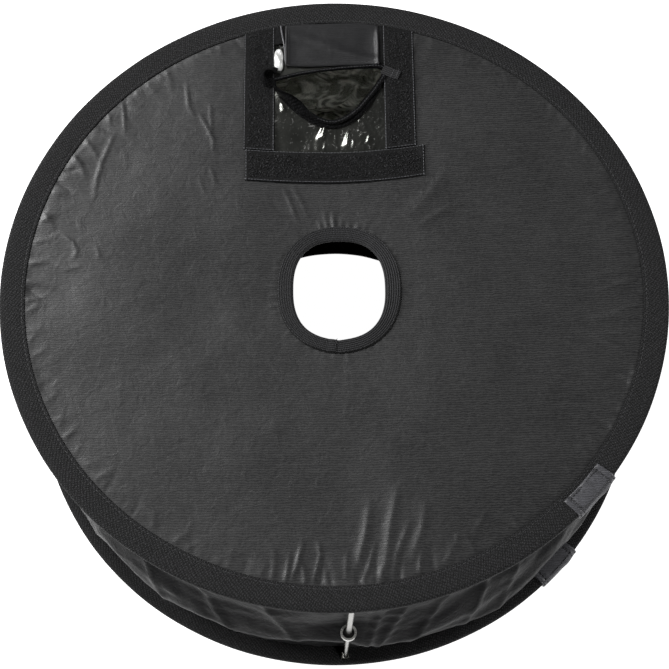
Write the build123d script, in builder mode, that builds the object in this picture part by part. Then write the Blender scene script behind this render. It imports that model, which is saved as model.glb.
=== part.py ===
"""Collapsible ring softbox for a camera flash: two sprung hoops, a round drum of coated
nylon between them, a lens tunnel through the middle and a flash mouth in the back panel.

Millimetres, +Z along the drum's axis towards the back panel, the drum standing on its
front rim. The origin is on the axis, in the plane of the front rim. +Y is the side of the
flash mouth.
"""

import os
from math import cos, degrees, radians, sin, sqrt

from build123d import *

os.makedirs("parts", exist_ok=True)

# The two rims
ring_diameter = 450.0       # over the binding tape
drum_depth = 160.0          # from the middle of one hoop to the middle of the other
binding_width = 17.0        # tape seen on the face of the disc
binding_flat = 12.0         # full-height part of the tape, from the outer edge inwards
binding_lip = 2.5           # height of the tape's inner edge
tape = 0.6                  # tape thickness over the spring band
tape_turn = 1.2             # radius of the tape's fold at the outer edge
band_height = 3.6           # spring steel band, standing on edge
band_thickness = 1.2
ferrule_wall = 0.3
ferrule_length = 22.0
cover_length = 36.0         # sleeve sewn round the rim where hoop and tape meet end to end
cover_thickness = 0.6
back_cover_azimuth = -42.5  # degrees from +X, anticlockwise from above
front_cover_azimuth = -44.0
fit = 0.1                   # clearance between sewn pieces

# Cloth
cloth = 0.5
seam_allowance = 9.0        # cloth inside the binding
wall_inset = 11.0           # side wall's sewn edge, in from the outer edge
wall_sag = 12.0             # how far the wall bows in at half height
panel_dish = 9.0            # how far the tunnel pulls the back panel in at the collar

# Lens collar and tunnel
lens_shift = 3.5            # collar to the right of the axis
collar_opening = (62.4, 72.6)
collar_band = 10.0          # width of the ribbed elastic
collar_thickness = 1.6
front_hole = 202.0
hole_tape_width = 10.0
hole_tape_height = 2.1
tunnel_inset = 3.0          # tunnel's top seam, in from the collar's outer edge
tunnel_foot = 4.0           # tunnel's bottom seam, out from the front hole's edge

# Flash mouth
slot_shift = -2.0           # centre of the window
slot_width = 78.0
slot_length = 104.0         # from the binding's inner edge down to the bottom strip
side_strip_width = 22.0
bottom_strip_width = 24.0
bottom_strip_overhang = 2.0 # past the side strips, at each end
bottom_strip_shift = 1.5
strip_thickness = 1.4
mouth_margin = 0.6          # between the mouth's elastic and the window's edge
mouth_slant = 10.5          # left corner lower than the right one
mouth_apex_drop = 58.0      # where the two lower sides would meet, below the right corner
mouth_bottom_radius = 29.0
mouth_corner_radius = 2.5
mouth_elastic_width = 3.4
flap_length = 32.0
flap_thickness = 0.8
flap_gap = 0.45             # free play under and around the flap
gusset_length = 22.0
gusset_widths = (7.0, 2.4)  # left and right of the flap
gusset_height = 2.4
tab_size = (11.0, 13.0)
tab_thickness = 1.3

# Struts that hold the hoops apart
strut_count = 4
strut_azimuth = -88.1
strut_inset = 5.5           # strut's axis, in from the outer edge
strut_lean = 1.6            # degrees along the rim, top towards the anticlockwise side
upper_rod_diameter = 4.2
lower_rod_top = 3.6
lower_rod_foot = 2.8
eye_diameter = 5.8
eye_thickness = 2.0
pin_diameter = 2.0
pin_clearance = 0.05
pin_head = 3.2
pin_head_thickness = 0.4
saddle_plate = 0.8
saddle_width = 6.0
saddle_play = 0.15
eye_clearance = 0.4
magnet_diameter = 8.0
magnet_thickness = 2.0
magnet_gap = 0.3            # between the magnet and the steel rod's end
cup_diameter = 10.9
cup_floor = 0.8
cup_rim = 0.9               # rim above the magnet's face

# Worked out from those
binding_height = band_height + 2 * (ferrule_wall + fit + tape)
outer_radius = ring_diameter / 2
inner_radius = outer_radius - binding_width
front_z = binding_height / 2
back_z = front_z + drum_depth
middle_z = (front_z + back_z) / 2
band_radius = outer_radius - tape - ferrule_wall - fit - band_thickness / 2
cavity_radius = outer_radius - binding_flat + 2 * tape
cloth_radius = inner_radius + seam_allowance
wall_edge = outer_radius - wall_inset
wall_low = front_z + binding_height / 2
wall_high = back_z - binding_height / 2
hole_radius = front_hole / 2
collar_outer = (collar_opening[0] / 2 + collar_band, collar_opening[1] / 2 + collar_band)
dish_start = min(collar_opening) / 4
slot_bottom = inner_radius - slot_length
slot_left = slot_shift - slot_width / 2
slot_right = slot_shift + slot_width / 2
mouth_width = slot_width - 2 * (mouth_elastic_width + mouth_margin)
flap_left = slot_left + fit + gusset_widths[0] + flap_gap
flap_right = slot_right - fit - gusset_widths[1] - flap_gap
flap_top = sqrt(inner_radius**2 - max(-flap_left, flap_right) ** 2) - flap_gap
flap_edge = flap_top - flap_length


def write(piece, name):
    piece.part.label = name
    export_step(piece.part, f"parts/{name}.step")


def on_radius(azimuth, radius=0.0, z=0.0):
    """A plane standing on a radius: its x points outwards and its y points up."""
    a = radians(azimuth)
    outwards = Vector(cos(a), sin(a), 0)
    return Plane(outwards * radius + Vector(0, 0, z), x_dir=outwards, z_dir=(sin(a), -cos(a), 0))


def arc_of(length, radius=outer_radius):
    return degrees(length / radius)


def rim_outline(z, grow=0.0):
    """The binding's cross-section about the height z, swollen all round by grow."""
    inner = inner_radius - grow
    lip = binding_lip / 2 + grow
    high = binding_height / 2 + grow
    flat = outer_radius - binding_flat
    corner = outer_radius + grow
    points = [(inner, lip), (flat, high), (corner, high)]
    return [(r, z + h) for r, h in points] + [(r, z - h) for r, h in reversed(points)]


def panel_z(r):
    """Height of the dished back panel's middle at the radius r."""
    share = (inner_radius - r) / (inner_radius - collar_outer[0])
    return back_z - panel_dish * max(share, 0)


def panel_layer(low, high, reach=cloth_radius):
    """Profile of a layer that lies low to high above the middle of the back panel."""
    radii = [dish_start, inner_radius]
    if reach > inner_radius:
        radii.append(reach)
    under = [(r, panel_z(r) + low) for r in radii]
    over = [(r, panel_z(r) + high) for r in reversed(radii)]
    return under + over


# Hoops: a band of spring steel bent round, its two ends held in a crimped ferrule
rims = (("front", front_z, front_cover_azimuth, 1), ("back", back_z, back_cover_azimuth, -1))
for side, z, joint, wall_side in rims:
    with BuildPart() as hoop:
        with BuildSketch(on_radius(joint + arc_of(0.5), 0, z)):
            with Locations((band_radius, 0)):
                Rectangle(band_thickness, band_height)
        revolve(axis=Axis.Z, revolution_arc=360 - arc_of(1.0))
    write(hoop, f"{side}_hoop")

    half = arc_of(ferrule_length) / 2
    with BuildPart() as ferrule:
        with BuildSketch(on_radius(joint - half, 0, z)):
            with Locations((band_radius, 0)):
                Rectangle(
                    band_thickness + 2 * (ferrule_wall + fit / 2),
                    band_height + 2 * (ferrule_wall + fit / 2),
                )
                Rectangle(band_thickness + fit, band_height + fit, mode=Mode.SUBTRACT)
        revolve(axis=Axis.Z, revolution_arc=2 * half)
    write(ferrule, f"{side}_hoop_ferrule")

    # Binding: tape folded over the hoop and over the edges of the cloth
    with BuildPart() as binding:
        with BuildSketch(Plane.XZ):
            with BuildLine():
                inner_top, flat_top, edge_top, edge_low, flat_low, inner_low = rim_outline(z)
                top_turn = (edge_top[0] - tape_turn, edge_top[1] - tape_turn)
                low_turn = (edge_low[0] - tape_turn, edge_low[1] + tape_turn)
                Polyline((top_turn[0], edge_top[1]), flat_top, inner_top, inner_low, flat_low, (low_turn[0], edge_low[1]))
                CenterArc(low_turn, tape_turn, 270, 90)
                Line((edge_low[0], low_turn[1]), (edge_top[0], top_turn[1]))
                CenterArc(top_turn, tape_turn, 0, 90)
            make_face()
            with Locations(((cavity_radius + outer_radius - tape) / 2, z)):
                Rectangle(outer_radius - tape - cavity_radius, binding_height - 2 * tape, mode=Mode.SUBTRACT)
            with Locations(((inner_radius + cavity_radius) / 2, z)):
                Rectangle(cavity_radius - inner_radius + 1, 2 * cloth + 2 * fit, mode=Mode.SUBTRACT)
        revolve(axis=Axis.Z)
    write(binding, f"{side}_binding")

    # Sleeve over the joint. It stops at the side wall's seam, and under the front rim it is
    # sewn down at the edge, so that the drum stands flat.
    half = arc_of(cover_length) / 2
    with BuildPart() as cover:
        with BuildSketch(on_radius(joint - half)):
            with BuildLine():
                Polyline(*rim_outline(z, fit + cover_thickness), close=True)
            make_face()
            with BuildLine():
                Polyline(*rim_outline(z, fit), close=True)
            make_face(mode=Mode.SUBTRACT)
            with Locations((inner_radius, z)):
                Rectangle(binding_lip, 2 * cloth + 2 * fit, mode=Mode.SUBTRACT)
            with Locations((wall_edge + fit - binding_width / 2, z + wall_side * binding_height / 2)):
                Rectangle(binding_width, binding_height, mode=Mode.SUBTRACT)
            with Locations((outer_radius, -binding_height / 2)):
                Rectangle(3 * binding_width, binding_height, mode=Mode.SUBTRACT)
            with Locations((outer_radius + fit - binding_width, 0)):
                Rectangle(2 * binding_width, 2 * front_z, mode=Mode.SUBTRACT)
        revolve(axis=Axis.Z, revolution_arc=2 * half)
    write(cover, f"{side}_joint_cover")

# Front: a ring of white translucent nylon, with tape over the edge of its hole
with BuildPart() as front_diffuser:
    with BuildSketch(Plane.XY.offset(front_z - cloth / 2)):
        Circle(cloth_radius)
        Circle(hole_radius + tape + fit, mode=Mode.SUBTRACT)
    extrude(amount=cloth)
write(front_diffuser, "front_diffuser")

with BuildPart() as front_hole_binding:
    with BuildSketch(Plane.XZ):
        with Locations((hole_radius + hole_tape_width / 2, front_z)):
            Rectangle(hole_tape_width, hole_tape_height)
        with Locations((hole_radius + tape + hole_tape_width / 2, front_z)):
            Rectangle(hole_tape_width, cloth + fit, mode=Mode.SUBTRACT)
    revolve(axis=Axis.Z)
write(front_hole_binding, "front_hole_binding")

# Side wall: coated nylon outside and silver cloth inside, bowed in between the hoops
for name, depth in (("side_wall", 0.0), ("side_wall_lining", cloth + fit)):
    outside = wall_edge - depth
    with BuildPart() as wall:
        with BuildSketch(Plane.XZ):
            with BuildLine():
                ThreePointArc((outside, wall_low), (outside - wall_sag, middle_z), (outside, wall_high))
                Line((outside, wall_high), (outside - cloth, wall_high))
                ThreePointArc(
                    (outside - cloth, wall_high),
                    (outside - cloth - wall_sag, middle_z),
                    (outside - cloth, wall_low),
                )
                Line((outside - cloth, wall_low), (outside, wall_low))
            make_face()
        revolve(axis=Axis.Z)
    write(wall, name)

# Lens tunnel: a cone of cloth from the collar to the front hole, black in, silver out
tunnel_low = front_z + hole_tape_height / 2
tunnel_top_reach = collar_outer[0] - tunnel_inset
tunnel_high = panel_z(tunnel_top_reach - lens_shift) - cloth - fit
for name, depth in (("lens_tunnel", 0.0), ("lens_tunnel_lining", cloth + fit)):
    with BuildPart() as tunnel:
        for grow, how in ((cloth + depth, Mode.ADD), (depth, Mode.SUBTRACT)):
            with BuildSketch(Plane.XY.offset(tunnel_low)):
                Circle(hole_radius + tunnel_foot + grow)
            with BuildSketch(Plane.XY.offset(tunnel_high)):
                with Locations((lens_shift, 0)):
                    Ellipse(
                        tunnel_top_reach + grow,
                        collar_outer[1] - tunnel_inset + grow,
                    )
            loft(ruled=True, mode=how)
    write(tunnel, name)

# Back panel and its silver lining, both cut out for the collar and for the flash window
for name, low, high in (("back_panel", 0.0, cloth), ("back_lining", -cloth, 0.0)):
    with BuildPart() as panel:
        with BuildSketch(Plane.XZ):
            with BuildLine():
                Polyline(*panel_layer(low, high), close=True)
            make_face()
        revolve(axis=Axis.Z)
        with BuildSketch(Plane.XY):
            with Locations((lens_shift, 0)):
                Ellipse(collar_outer[0] - collar_band / 2, collar_outer[1] - collar_band / 2)
            with Locations((slot_shift, (slot_bottom + outer_radius) / 2)):
                Rectangle(slot_width, outer_radius - slot_bottom)
        extrude(amount=2 * back_z, mode=Mode.SUBTRACT)
    write(panel, name)

# Collar: wide ribbed elastic sewn on round the lens opening
with BuildPart() as lens_elastic:
    with BuildSketch(Plane.XZ):
        with BuildLine():
            Polyline(*panel_layer(cloth, cloth + collar_thickness, inner_radius - fit), close=True)
        make_face()
    revolve(axis=Axis.Z)
    with BuildSketch(Plane.XY):
        with Locations((lens_shift, 0)):
            Ellipse(*collar_outer)
            Ellipse(collar_opening[0] / 2, collar_opening[1] / 2, mode=Mode.SUBTRACT)
    extrude(amount=2 * back_z, mode=Mode.INTERSECT)
write(lens_elastic, "lens_elastic")

# Loop tape on three sides of the flash window, for the straps of a flash bracket
side_y = (slot_bottom + outer_radius) / 2
side_length = outer_radius - slot_bottom - 2 * fit
strips = {
    "loop_strip_left": (slot_left - side_strip_width / 2, side_y, side_strip_width, side_length),
    "loop_strip_right": (slot_right + side_strip_width / 2, side_y, side_strip_width, side_length),
    "loop_strip_bottom": (
        bottom_strip_shift,
        slot_bottom - bottom_strip_width / 2,
        slot_width + 2 * (side_strip_width + bottom_strip_overhang),
        bottom_strip_width,
    ),
}
for name, (x, y, width, length) in strips.items():
    with BuildPart() as strip:
        with BuildSketch(Plane.XZ):
            with BuildLine():
                Polyline(*panel_layer(cloth, cloth + strip_thickness, inner_radius - fit), close=True)
            make_face()
        revolve(axis=Axis.Z)
        with BuildSketch(Plane.XY):
            with Locations((x, y)):
                Rectangle(width, length)
        extrude(amount=2 * back_z, mode=Mode.INTERSECT)
    write(strip, name)

# Mouth: a silver panel that fills the window, with a D-shaped opening hemmed in elastic
mouth_right = (slot_shift + mouth_width / 2, flap_edge - flap_gap - mouth_elastic_width)
mouth_left = (slot_shift - mouth_width / 2, mouth_right[1] - mouth_slant)
mouth_apex = (slot_shift, mouth_right[1] - mouth_apex_drop)
with BuildSketch() as mouth_opening:
    with BuildLine():
        Polyline(mouth_left, mouth_right, mouth_apex, close=True)
    make_face()
    left, lowest, right = mouth_opening.vertices().sort_by(Axis.X)
    fillet([lowest], mouth_bottom_radius)
    fillet([left, right], mouth_corner_radius)

with BuildPart() as slot_panel:
    with BuildSketch(Plane.XZ):
        with BuildLine():
            Polyline(*panel_layer(0.0, cloth), close=True)
        make_face()
    revolve(axis=Axis.Z)
    with BuildSketch(Plane.XY):
        with Locations((slot_shift, side_y)):
            Rectangle(slot_width - 2 * fit, outer_radius - slot_bottom - 2 * fit)
        add(mouth_opening.sketch, mode=Mode.SUBTRACT)
    extrude(amount=2 * back_z, mode=Mode.INTERSECT)
write(slot_panel, "slot_panel")

with BuildPart() as mouth_elastic:
    with BuildSketch(Plane.XZ):
        with BuildLine():
            Polyline(*panel_layer(cloth, cloth + strip_thickness, inner_radius - fit), close=True)
        make_face()
    revolve(axis=Axis.Z)
    with BuildSketch(Plane.XY):
        add(mouth_opening.sketch)
        offset(amount=mouth_elastic_width)
        add(mouth_opening.sketch, mode=Mode.SUBTRACT)
    extrude(amount=2 * back_z, mode=Mode.INTERSECT)
write(mouth_elastic, "mouth_elastic")

# Flap over the top of the mouth, sewn to the rim along its upper edge and free elsewhere
flap_low = cloth + flap_gap
with BuildPart() as slot_flap:
    with BuildSketch(Plane.XZ):
        with BuildLine():
            Polyline(*panel_layer(flap_low, flap_low + flap_thickness, inner_radius - fit), close=True)
        make_face()
    revolve(axis=Axis.Z)
    with BuildSketch(Plane.XY):
        with Locations(((flap_left + flap_right) / 2, (flap_top + flap_edge) / 2)):
            Rectangle(flap_right - flap_left, flap_length)
    extrude(amount=2 * back_z, mode=Mode.INTERSECT)
write(slot_flap, "slot_flap")

# Silver gussets folded beside the flap
gussets = {
    "slot_gusset_left": (slot_left + fit, flap_left - flap_gap),
    "slot_gusset_right": (flap_right + flap_gap, slot_right - fit),
}
for name, (left, right) in gussets.items():
    with BuildPart() as gusset:
        with BuildSketch(Plane.XZ):
            with BuildLine():
                Polyline(*panel_layer(cloth, cloth + gusset_height, inner_radius - fit), close=True)
            make_face()
        revolve(axis=Axis.Z)
        with BuildSketch(Plane.XY):
            with Locations(((left + right) / 2, flap_edge + gusset_length / 2)):
                Rectangle(right - left, gusset_length)
        extrude(amount=2 * back_z, mode=Mode.INTERSECT)
    write(gusset, name)

# Tabs that anchor the ends of the mouth's elastic on the loop strips
tabs = {
    "mouth_tab_left": (slot_left - tab_size[0] / 2 + 3.0, mouth_left[1] + 3.0),
    "mouth_tab_right": (slot_right + tab_size[0] / 2 - 1.0, mouth_right[1] - 8.0),
}
for name, (x, y) in tabs.items():
    with BuildPart() as tab:
        with BuildSketch(Plane.XZ):
            with BuildLine():
                low = cloth + strip_thickness
                Polyline(*panel_layer(low, low + tab_thickness, inner_radius - fit), close=True)
            make_face()
        revolve(axis=Axis.Z)
        with BuildSketch(Plane.XY):
            with Locations((x, y)):
                RectangleRounded(*tab_size, tab_size[0] / 4)
        extrude(amount=2 * back_z, mode=Mode.INTERSECT)
    write(tab, name)

# Struts: an upper steel rod and a lower rod with a magnet in a cup meet half way. Each
# turns on a pin through a saddle that is fixed to its hoop's binding.
strut_radius = outer_radius - strut_inset
pin_drop = saddle_plate + eye_clearance + eye_diameter / 2
pin_reach = (wall_high - pin_drop - middle_z) / cos(radians(strut_lean))
azimuths = [strut_azimuth + 360 / strut_count * i for i in range(strut_count)]


def strut_plane(azimuth):
    """At the strut's middle: x points outwards, z runs up along the leaning strut."""
    a, lean = radians(azimuth), radians(strut_lean)
    outwards = Vector(cos(a), sin(a), 0)
    along = Vector(-sin(a) * sin(lean), cos(a) * sin(lean), cos(lean))
    return Plane(outwards * strut_radius + Vector(0, 0, middle_z), x_dir=outwards, z_dir=along)


def eye_plane(strut, height):
    """Square to the pin, on the strut's axis at the given height, with y along the strut."""
    return Plane(strut.from_local_coords((0, 0, height)), x_dir=strut.y_dir, z_dir=strut.x_dir)


def saddle_plane(azimuth, up):
    """Square to the pin of one end of a strut, with y straight up."""
    strut = strut_plane(azimuth)
    pin = strut.from_local_coords((0, 0, up * pin_reach))
    return Plane(pin, x_dir=Vector(0, 0, 1).cross(strut.x_dir), z_dir=strut.x_dir)


saddle_side = eye_thickness / 2 + saddle_play
for end, up in (("upper", 1), ("lower", -1)):
    with BuildPart() as saddles:
        for azimuth in azimuths:
            upright = saddle_plane(azimuth, up)
            for cheek in (upright.offset(saddle_side), upright.offset(-saddle_side - saddle_plate)):
                with BuildSketch(cheek):
                    Circle(saddle_width / 2)
                    with Locations((0, up * pin_drop / 2)):
                        Rectangle(saddle_width, pin_drop)
                    Circle(pin_diameter / 2 + pin_clearance, mode=Mode.SUBTRACT)
                extrude(amount=saddle_plate)
            with BuildSketch(upright):
                with Locations((0, up * (pin_drop - saddle_plate / 2))):
                    Rectangle(saddle_width, saddle_plate)
            extrude(amount=saddle_side + saddle_plate, both=True)
    write(saddles, f"{end}_rod_saddles")

    with BuildPart() as pins:
        for azimuth in azimuths:
            upright = saddle_plane(azimuth, up)
            with BuildSketch(upright):
                Circle(pin_diameter / 2)
            extrude(amount=saddle_side + saddle_plate, both=True)
            for head in (saddle_side + saddle_plate, -saddle_side - saddle_plate - pin_head_thickness):
                with BuildSketch(upright.offset(head)):
                    Circle(pin_head / 2)
                extrude(amount=pin_head_thickness)
    write(pins, f"{end}_saddle_pins")

shaft_end = pin_reach - saddle_width / 2 - eye_clearance
rod_tip = magnet_gap / 2
magnet_top = -magnet_gap / 2
cup_bottom = magnet_top - magnet_thickness - cup_floor
for number, azimuth in enumerate(azimuths, start=1):
    strut = strut_plane(azimuth)

    with BuildPart() as upper_rod:
        with BuildSketch(strut.offset(rod_tip)):
            Circle(upper_rod_diameter / 2)
        extrude(amount=shaft_end - rod_tip)
        chamfer(upper_rod.edges().sort_by(lambda e: (e.center() - strut.origin).length)[:1], 0.4)
        with BuildSketch(eye_plane(strut, pin_reach)):
            Circle(eye_diameter / 2)
            with Locations((0, (shaft_end - 1 - pin_reach) / 2)):
                Rectangle(eye_thickness * 1.5, pin_reach - shaft_end + 1)
            Circle(pin_diameter / 2 + pin_clearance, mode=Mode.SUBTRACT)
        extrude(amount=eye_thickness / 2, both=True)
    write(upper_rod, f"upper_rod_{number}")

    with BuildPart() as lower_rod:
        with BuildSketch(strut.offset(-shaft_end)):
            Circle(lower_rod_foot / 2)
        with BuildSketch(strut.offset(cup_bottom)):
            Circle(lower_rod_top / 2)
        loft()
        with BuildSketch(eye_plane(strut, -pin_reach)):
            Circle(eye_diameter / 2)
            with Locations((0, (pin_reach - shaft_end + 1) / 2)):
                Rectangle(lower_rod_foot * 0.9, pin_reach - shaft_end + 1)
            Circle(pin_diameter / 2 + pin_clearance, mode=Mode.SUBTRACT)
        extrude(amount=eye_thickness / 2, both=True)
    write(lower_rod, f"lower_rod_{number}")

    with BuildPart() as magnet_cup:
        with BuildSketch(strut.offset(cup_bottom)):
            Circle(cup_diameter / 2)
        extrude(amount=magnet_top + cup_rim - cup_bottom)
        fillet(magnet_cup.edges().sort_by(lambda e: strut.to_local_coords(e.center()).Z)[:1], cup_floor)
        with BuildSketch(strut.offset(cup_bottom + cup_floor)):
            Circle(magnet_diameter / 2 + fit / 2)
        extrude(amount=magnet_thickness + cup_rim, mode=Mode.SUBTRACT)
    write(magnet_cup, f"magnet_cup_{number}")

    with BuildPart() as magnet:
        with BuildSketch(strut.offset(magnet_top - magnet_thickness)):
            Circle(magnet_diameter / 2)
        extrude(amount=magnet_thickness)
    write(magnet, f"magnet_{number}")
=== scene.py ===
"""Collapsible ring softbox, lying on its white front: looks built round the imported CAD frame."""
import math

import bmesh
import bpy
import numpy as np
from mathutils import Matrix, Vector, geometry


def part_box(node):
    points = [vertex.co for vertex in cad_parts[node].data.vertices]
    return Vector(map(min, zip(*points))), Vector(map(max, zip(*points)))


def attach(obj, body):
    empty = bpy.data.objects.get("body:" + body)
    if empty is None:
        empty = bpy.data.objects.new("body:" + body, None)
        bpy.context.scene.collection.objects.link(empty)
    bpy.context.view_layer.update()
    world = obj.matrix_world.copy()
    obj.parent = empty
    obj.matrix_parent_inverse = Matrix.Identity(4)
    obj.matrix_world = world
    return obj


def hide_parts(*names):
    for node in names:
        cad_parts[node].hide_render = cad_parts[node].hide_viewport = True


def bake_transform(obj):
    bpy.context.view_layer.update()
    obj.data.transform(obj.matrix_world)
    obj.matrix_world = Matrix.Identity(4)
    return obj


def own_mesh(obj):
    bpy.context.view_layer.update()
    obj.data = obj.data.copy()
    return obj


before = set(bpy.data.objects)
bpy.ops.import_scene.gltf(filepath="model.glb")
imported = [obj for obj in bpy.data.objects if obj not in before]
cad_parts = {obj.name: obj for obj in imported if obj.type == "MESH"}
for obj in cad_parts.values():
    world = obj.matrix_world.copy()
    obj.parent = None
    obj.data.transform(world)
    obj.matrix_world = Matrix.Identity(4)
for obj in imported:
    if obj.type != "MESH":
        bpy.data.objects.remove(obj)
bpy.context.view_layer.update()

MM = 0.001
PER_METRE = (1000, 1000, 1000)


# ---------------------------------------------------------------------------------------
# Camera. It stands over the near rim, 1.06 m from the middle of the back panel, and looks
# down a little more steeply than that, so the drum fills the picture.
BACK_Z = (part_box("back_binding")[0].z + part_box("back_binding")[1].z) / 2 / MM
FRONT_Z = (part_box("front_binding")[0].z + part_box("front_binding")[1].z) / 2 / MM
CAMERA_DISTANCE = 1060.0
CAMERA_ELEVATION = math.radians(64.94)
CAMERA_TILT = math.radians(1.86)
CAMERA_ROLL = math.radians(-0.6)
camera = bpy.data.objects.new("camera", bpy.data.cameras.new("camera"))
camera.data.sensor_width = 36.0
camera.data.lens = 84.5
camera.matrix_world = (
    Matrix.Translation(Vector((
        0.0,
        -CAMERA_DISTANCE * math.cos(CAMERA_ELEVATION) * MM,
        (BACK_Z + CAMERA_DISTANCE * math.sin(CAMERA_ELEVATION)) * MM,
    )))
    @ Matrix.Rotation(math.radians(90) - CAMERA_ELEVATION - CAMERA_TILT, 4, "X")
    @ Matrix.Rotation(CAMERA_ROLL, 4, "Z")
)
bpy.context.collection.objects.link(camera)
bpy.context.scene.camera = camera


# ---------------------------------------------------------------------------------------
# Hoops and ferrules: bands of spring steel, each closed by a crimped steel sleeve. They lie
# inside the bindings, which hold them on edge.
def linear(code):
    """An sRGB hex colour as the linear colour that a shader takes."""
    parts = [int(code[i:i + 2], 16) / 255 for i in (1, 3, 5)]
    return [c / 12.92 if c <= 0.04045 else ((c + 0.055) / 1.055) ** 2.4 for c in parts] + [1.0]


def wire(tree, node, sockets):
    """Sets sockets to constants, or links them to an output. A node stands for its first one."""
    for name, value in sockets.items():
        if isinstance(value, bpy.types.Node):
            value = value.outputs[0]
        if isinstance(value, bpy.types.NodeSocket):
            tree.links.new(value, node.inputs[name])
        else:
            node.inputs[name].default_value = value


def add_node(tree, kind, sockets=None, **settings):
    """Adds a node with its settings and links."""
    made = tree.nodes.new(kind)
    for name, value in settings.items():
        setattr(made, name, value)
    wire(tree, made, sockets or {})
    return made


def new_material(name, color, constants):
    """A material with one Principled shader, and the values that stay the same all over it."""
    material = bpy.data.materials.new(name)
    material.use_nodes = True
    material.diffuse_color = linear(color)
    shader = material.node_tree.nodes["Principled BSDF"]
    wire(material.node_tree, shader, {"Base Color": linear(color), **constants})
    return material, material.node_tree, shader


def one_texture(name, color, constants, kind, settings, tones, shine=None, relief=None, stretch=None):
    """A material from one texture on the object. It blends the two tones, runs the roughness
    from one value to the other, and stands up as bump of a strength and a depth in mm."""
    material, tree, shader = new_material(name, color, constants)
    place = add_node(tree, "ShaderNodeTexCoord").outputs["Object"]
    if stretch:
        place = add_node(tree, "ShaderNodeMapping", {"Vector": place, "Scale": stretch})
    grain = add_node(tree, kind, {"Vector": place, **settings})
    dark, pale = (linear(code) for code in tones)
    wire(
        tree, shader,
        {"Base Color": add_node(tree, "ShaderNodeMixRGB", {"Fac": grain, "Color1": dark, "Color2": pale})}
    )
    if shine:
        wire(tree, shader, {
            "Roughness": add_node(
                tree, "ShaderNodeMapRange", {"Value": grain, "To Min": shine[0], "To Max": shine[1]}
            ),
        })
    if relief:
        wire(tree, shader, {
            "Normal": add_node(
                tree, "ShaderNodeBump", {"Height": grain, "Strength": relief[0], "Distance": relief[1] * MM}
            ),
        })
    return material


def finish_node(node_name, material):
    """A CAD node that is shown as it is gets its procedural finish."""
    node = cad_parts[node_name]
    if not node.material_slots:
        node.data.materials.append(material)
    for material_slot in node.material_slots:
        material_slot.material = material


# Spring steel, rolled and oiled: fine rolling marks, and a grey that varies a little
spring_steel = one_texture(
    "spring_steel_rolled", "#6b6e73", {"Metallic": 1.0}, "ShaderNodeTexNoise", {"Scale": 1.0, "Detail": 4.0},
    ("#55585d", "#7d8085"), shine=(0.28, 0.45), stretch=(200, 200, 3000),
)
for node_name in ("front_hoop", "back_hoop", "front_hoop_ferrule", "back_hoop_ferrule"):
    finish_node(node_name, spring_steel)


# ---------------------------------------------------------------------------------------
# Bindings: black woven polyester tape, 17 mm wide once it is folded over the hoop and over
# the edges of the cloth. A row of lockstitch near its inner edge holds it shut.
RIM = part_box("back_binding")[1].x / MM
TAPE_WIDTH = 17.0
TAPE_INNER = RIM - TAPE_WIDTH
STITCH_IN = 2.2
AROUND = 720


def quads(rows, columns, wrap_rows=False, wrap_columns=False):
    """Faces of a grid of points, joined up round its ends where it wraps."""
    i, j = np.meshgrid(
        np.arange(rows if wrap_rows else rows - 1),
        np.arange(columns if wrap_columns else columns - 1),
        indexing="ij",
    )
    k, l = (i + 1) % rows, (j + 1) % columns
    corners = (i * columns + j, k * columns + j, k * columns + l, i * columns + l)
    return np.stack(corners, -1).reshape(-1, 4)


def make_piece(name, points, faces, material, body, cloth=None):
    """A closed mesh from points in millimetres. cloth is each point's place along and across
    the cloth, and the lengths after which it comes round again. With no body, it is attached to none."""
    mesh = bpy.data.meshes.new(name)
    mesh.from_pydata((np.asarray(points, float) * MM).tolist(), [], [list(map(int, f)) for f in faces])
    if cloth is not None:
        u, v, u_round, v_round = cloth
        corner = np.zeros(len(mesh.loops), int)
        mesh.loops.foreach_get("vertex_index", corner)
        start, count = np.zeros(len(mesh.polygons), int), np.zeros(len(mesh.polygons), int)
        mesh.polygons.foreach_get("loop_start", start)
        mesh.polygons.foreach_get("loop_total", count)
        both = np.stack([u[corner], v[corner]], -1)
        for axis, whole in ((0, u_round), (1, v_round)):
            most = np.repeat(np.maximum.reduceat(both[:, axis], start), count)
            both[:, axis] += np.where(most - both[:, axis] > whole / 2, whole, 0)
        mesh.uv_layers.new(name="cloth").data.foreach_set("uv", (both * MM).ravel())
    shell = bmesh.new()
    shell.from_mesh(mesh)
    bmesh.ops.recalc_face_normals(shell, faces=shell.faces)
    shell.to_mesh(mesh)
    shell.free()
    mesh.shade_smooth()
    mesh.materials.append(material)
    made = bpy.data.objects.new(name, mesh)
    bpy.context.collection.objects.link(made)
    if body:
        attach(made, body)
    return made


def lengths(line, closed):
    """How far along a line of points each point is, and its whole length."""
    line = np.asarray(line, float)
    steps = np.linalg.norm(np.diff(np.vstack([line, line[:1]]), axis=0), axis=1)
    far = np.concatenate([[0], np.cumsum(steps)])
    return far[:-1], far[-1] if closed else 1e9


def sweep(name, rings, material, body, closed=True, across=None):
    """A tube through rings of points, each ring the outline of one cross-section. across gives
    each point's place across the cloth and the whole way round, where they aren't its lengths."""
    rings = np.asarray(rings, float)
    rows, columns = rings.shape[:2]
    u, u_round = lengths(rings.mean(1), closed)
    v, v_round = across or lengths(rings[rows // 2], True)
    faces = quads(rows, columns, closed, True).tolist()
    if not closed:
        faces += [list(range(columns))[::-1], [(rows - 1) * columns + c for c in range(columns)]]
    cloth = (np.repeat(u, columns), np.tile(v, rows), u_round, v_round)
    return make_piece(name, rings.reshape(-1, 3), faces, material, body, cloth)


def round_axis(radius, angle, z):
    return (radius * math.cos(angle), radius * math.sin(angle), z)


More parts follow.
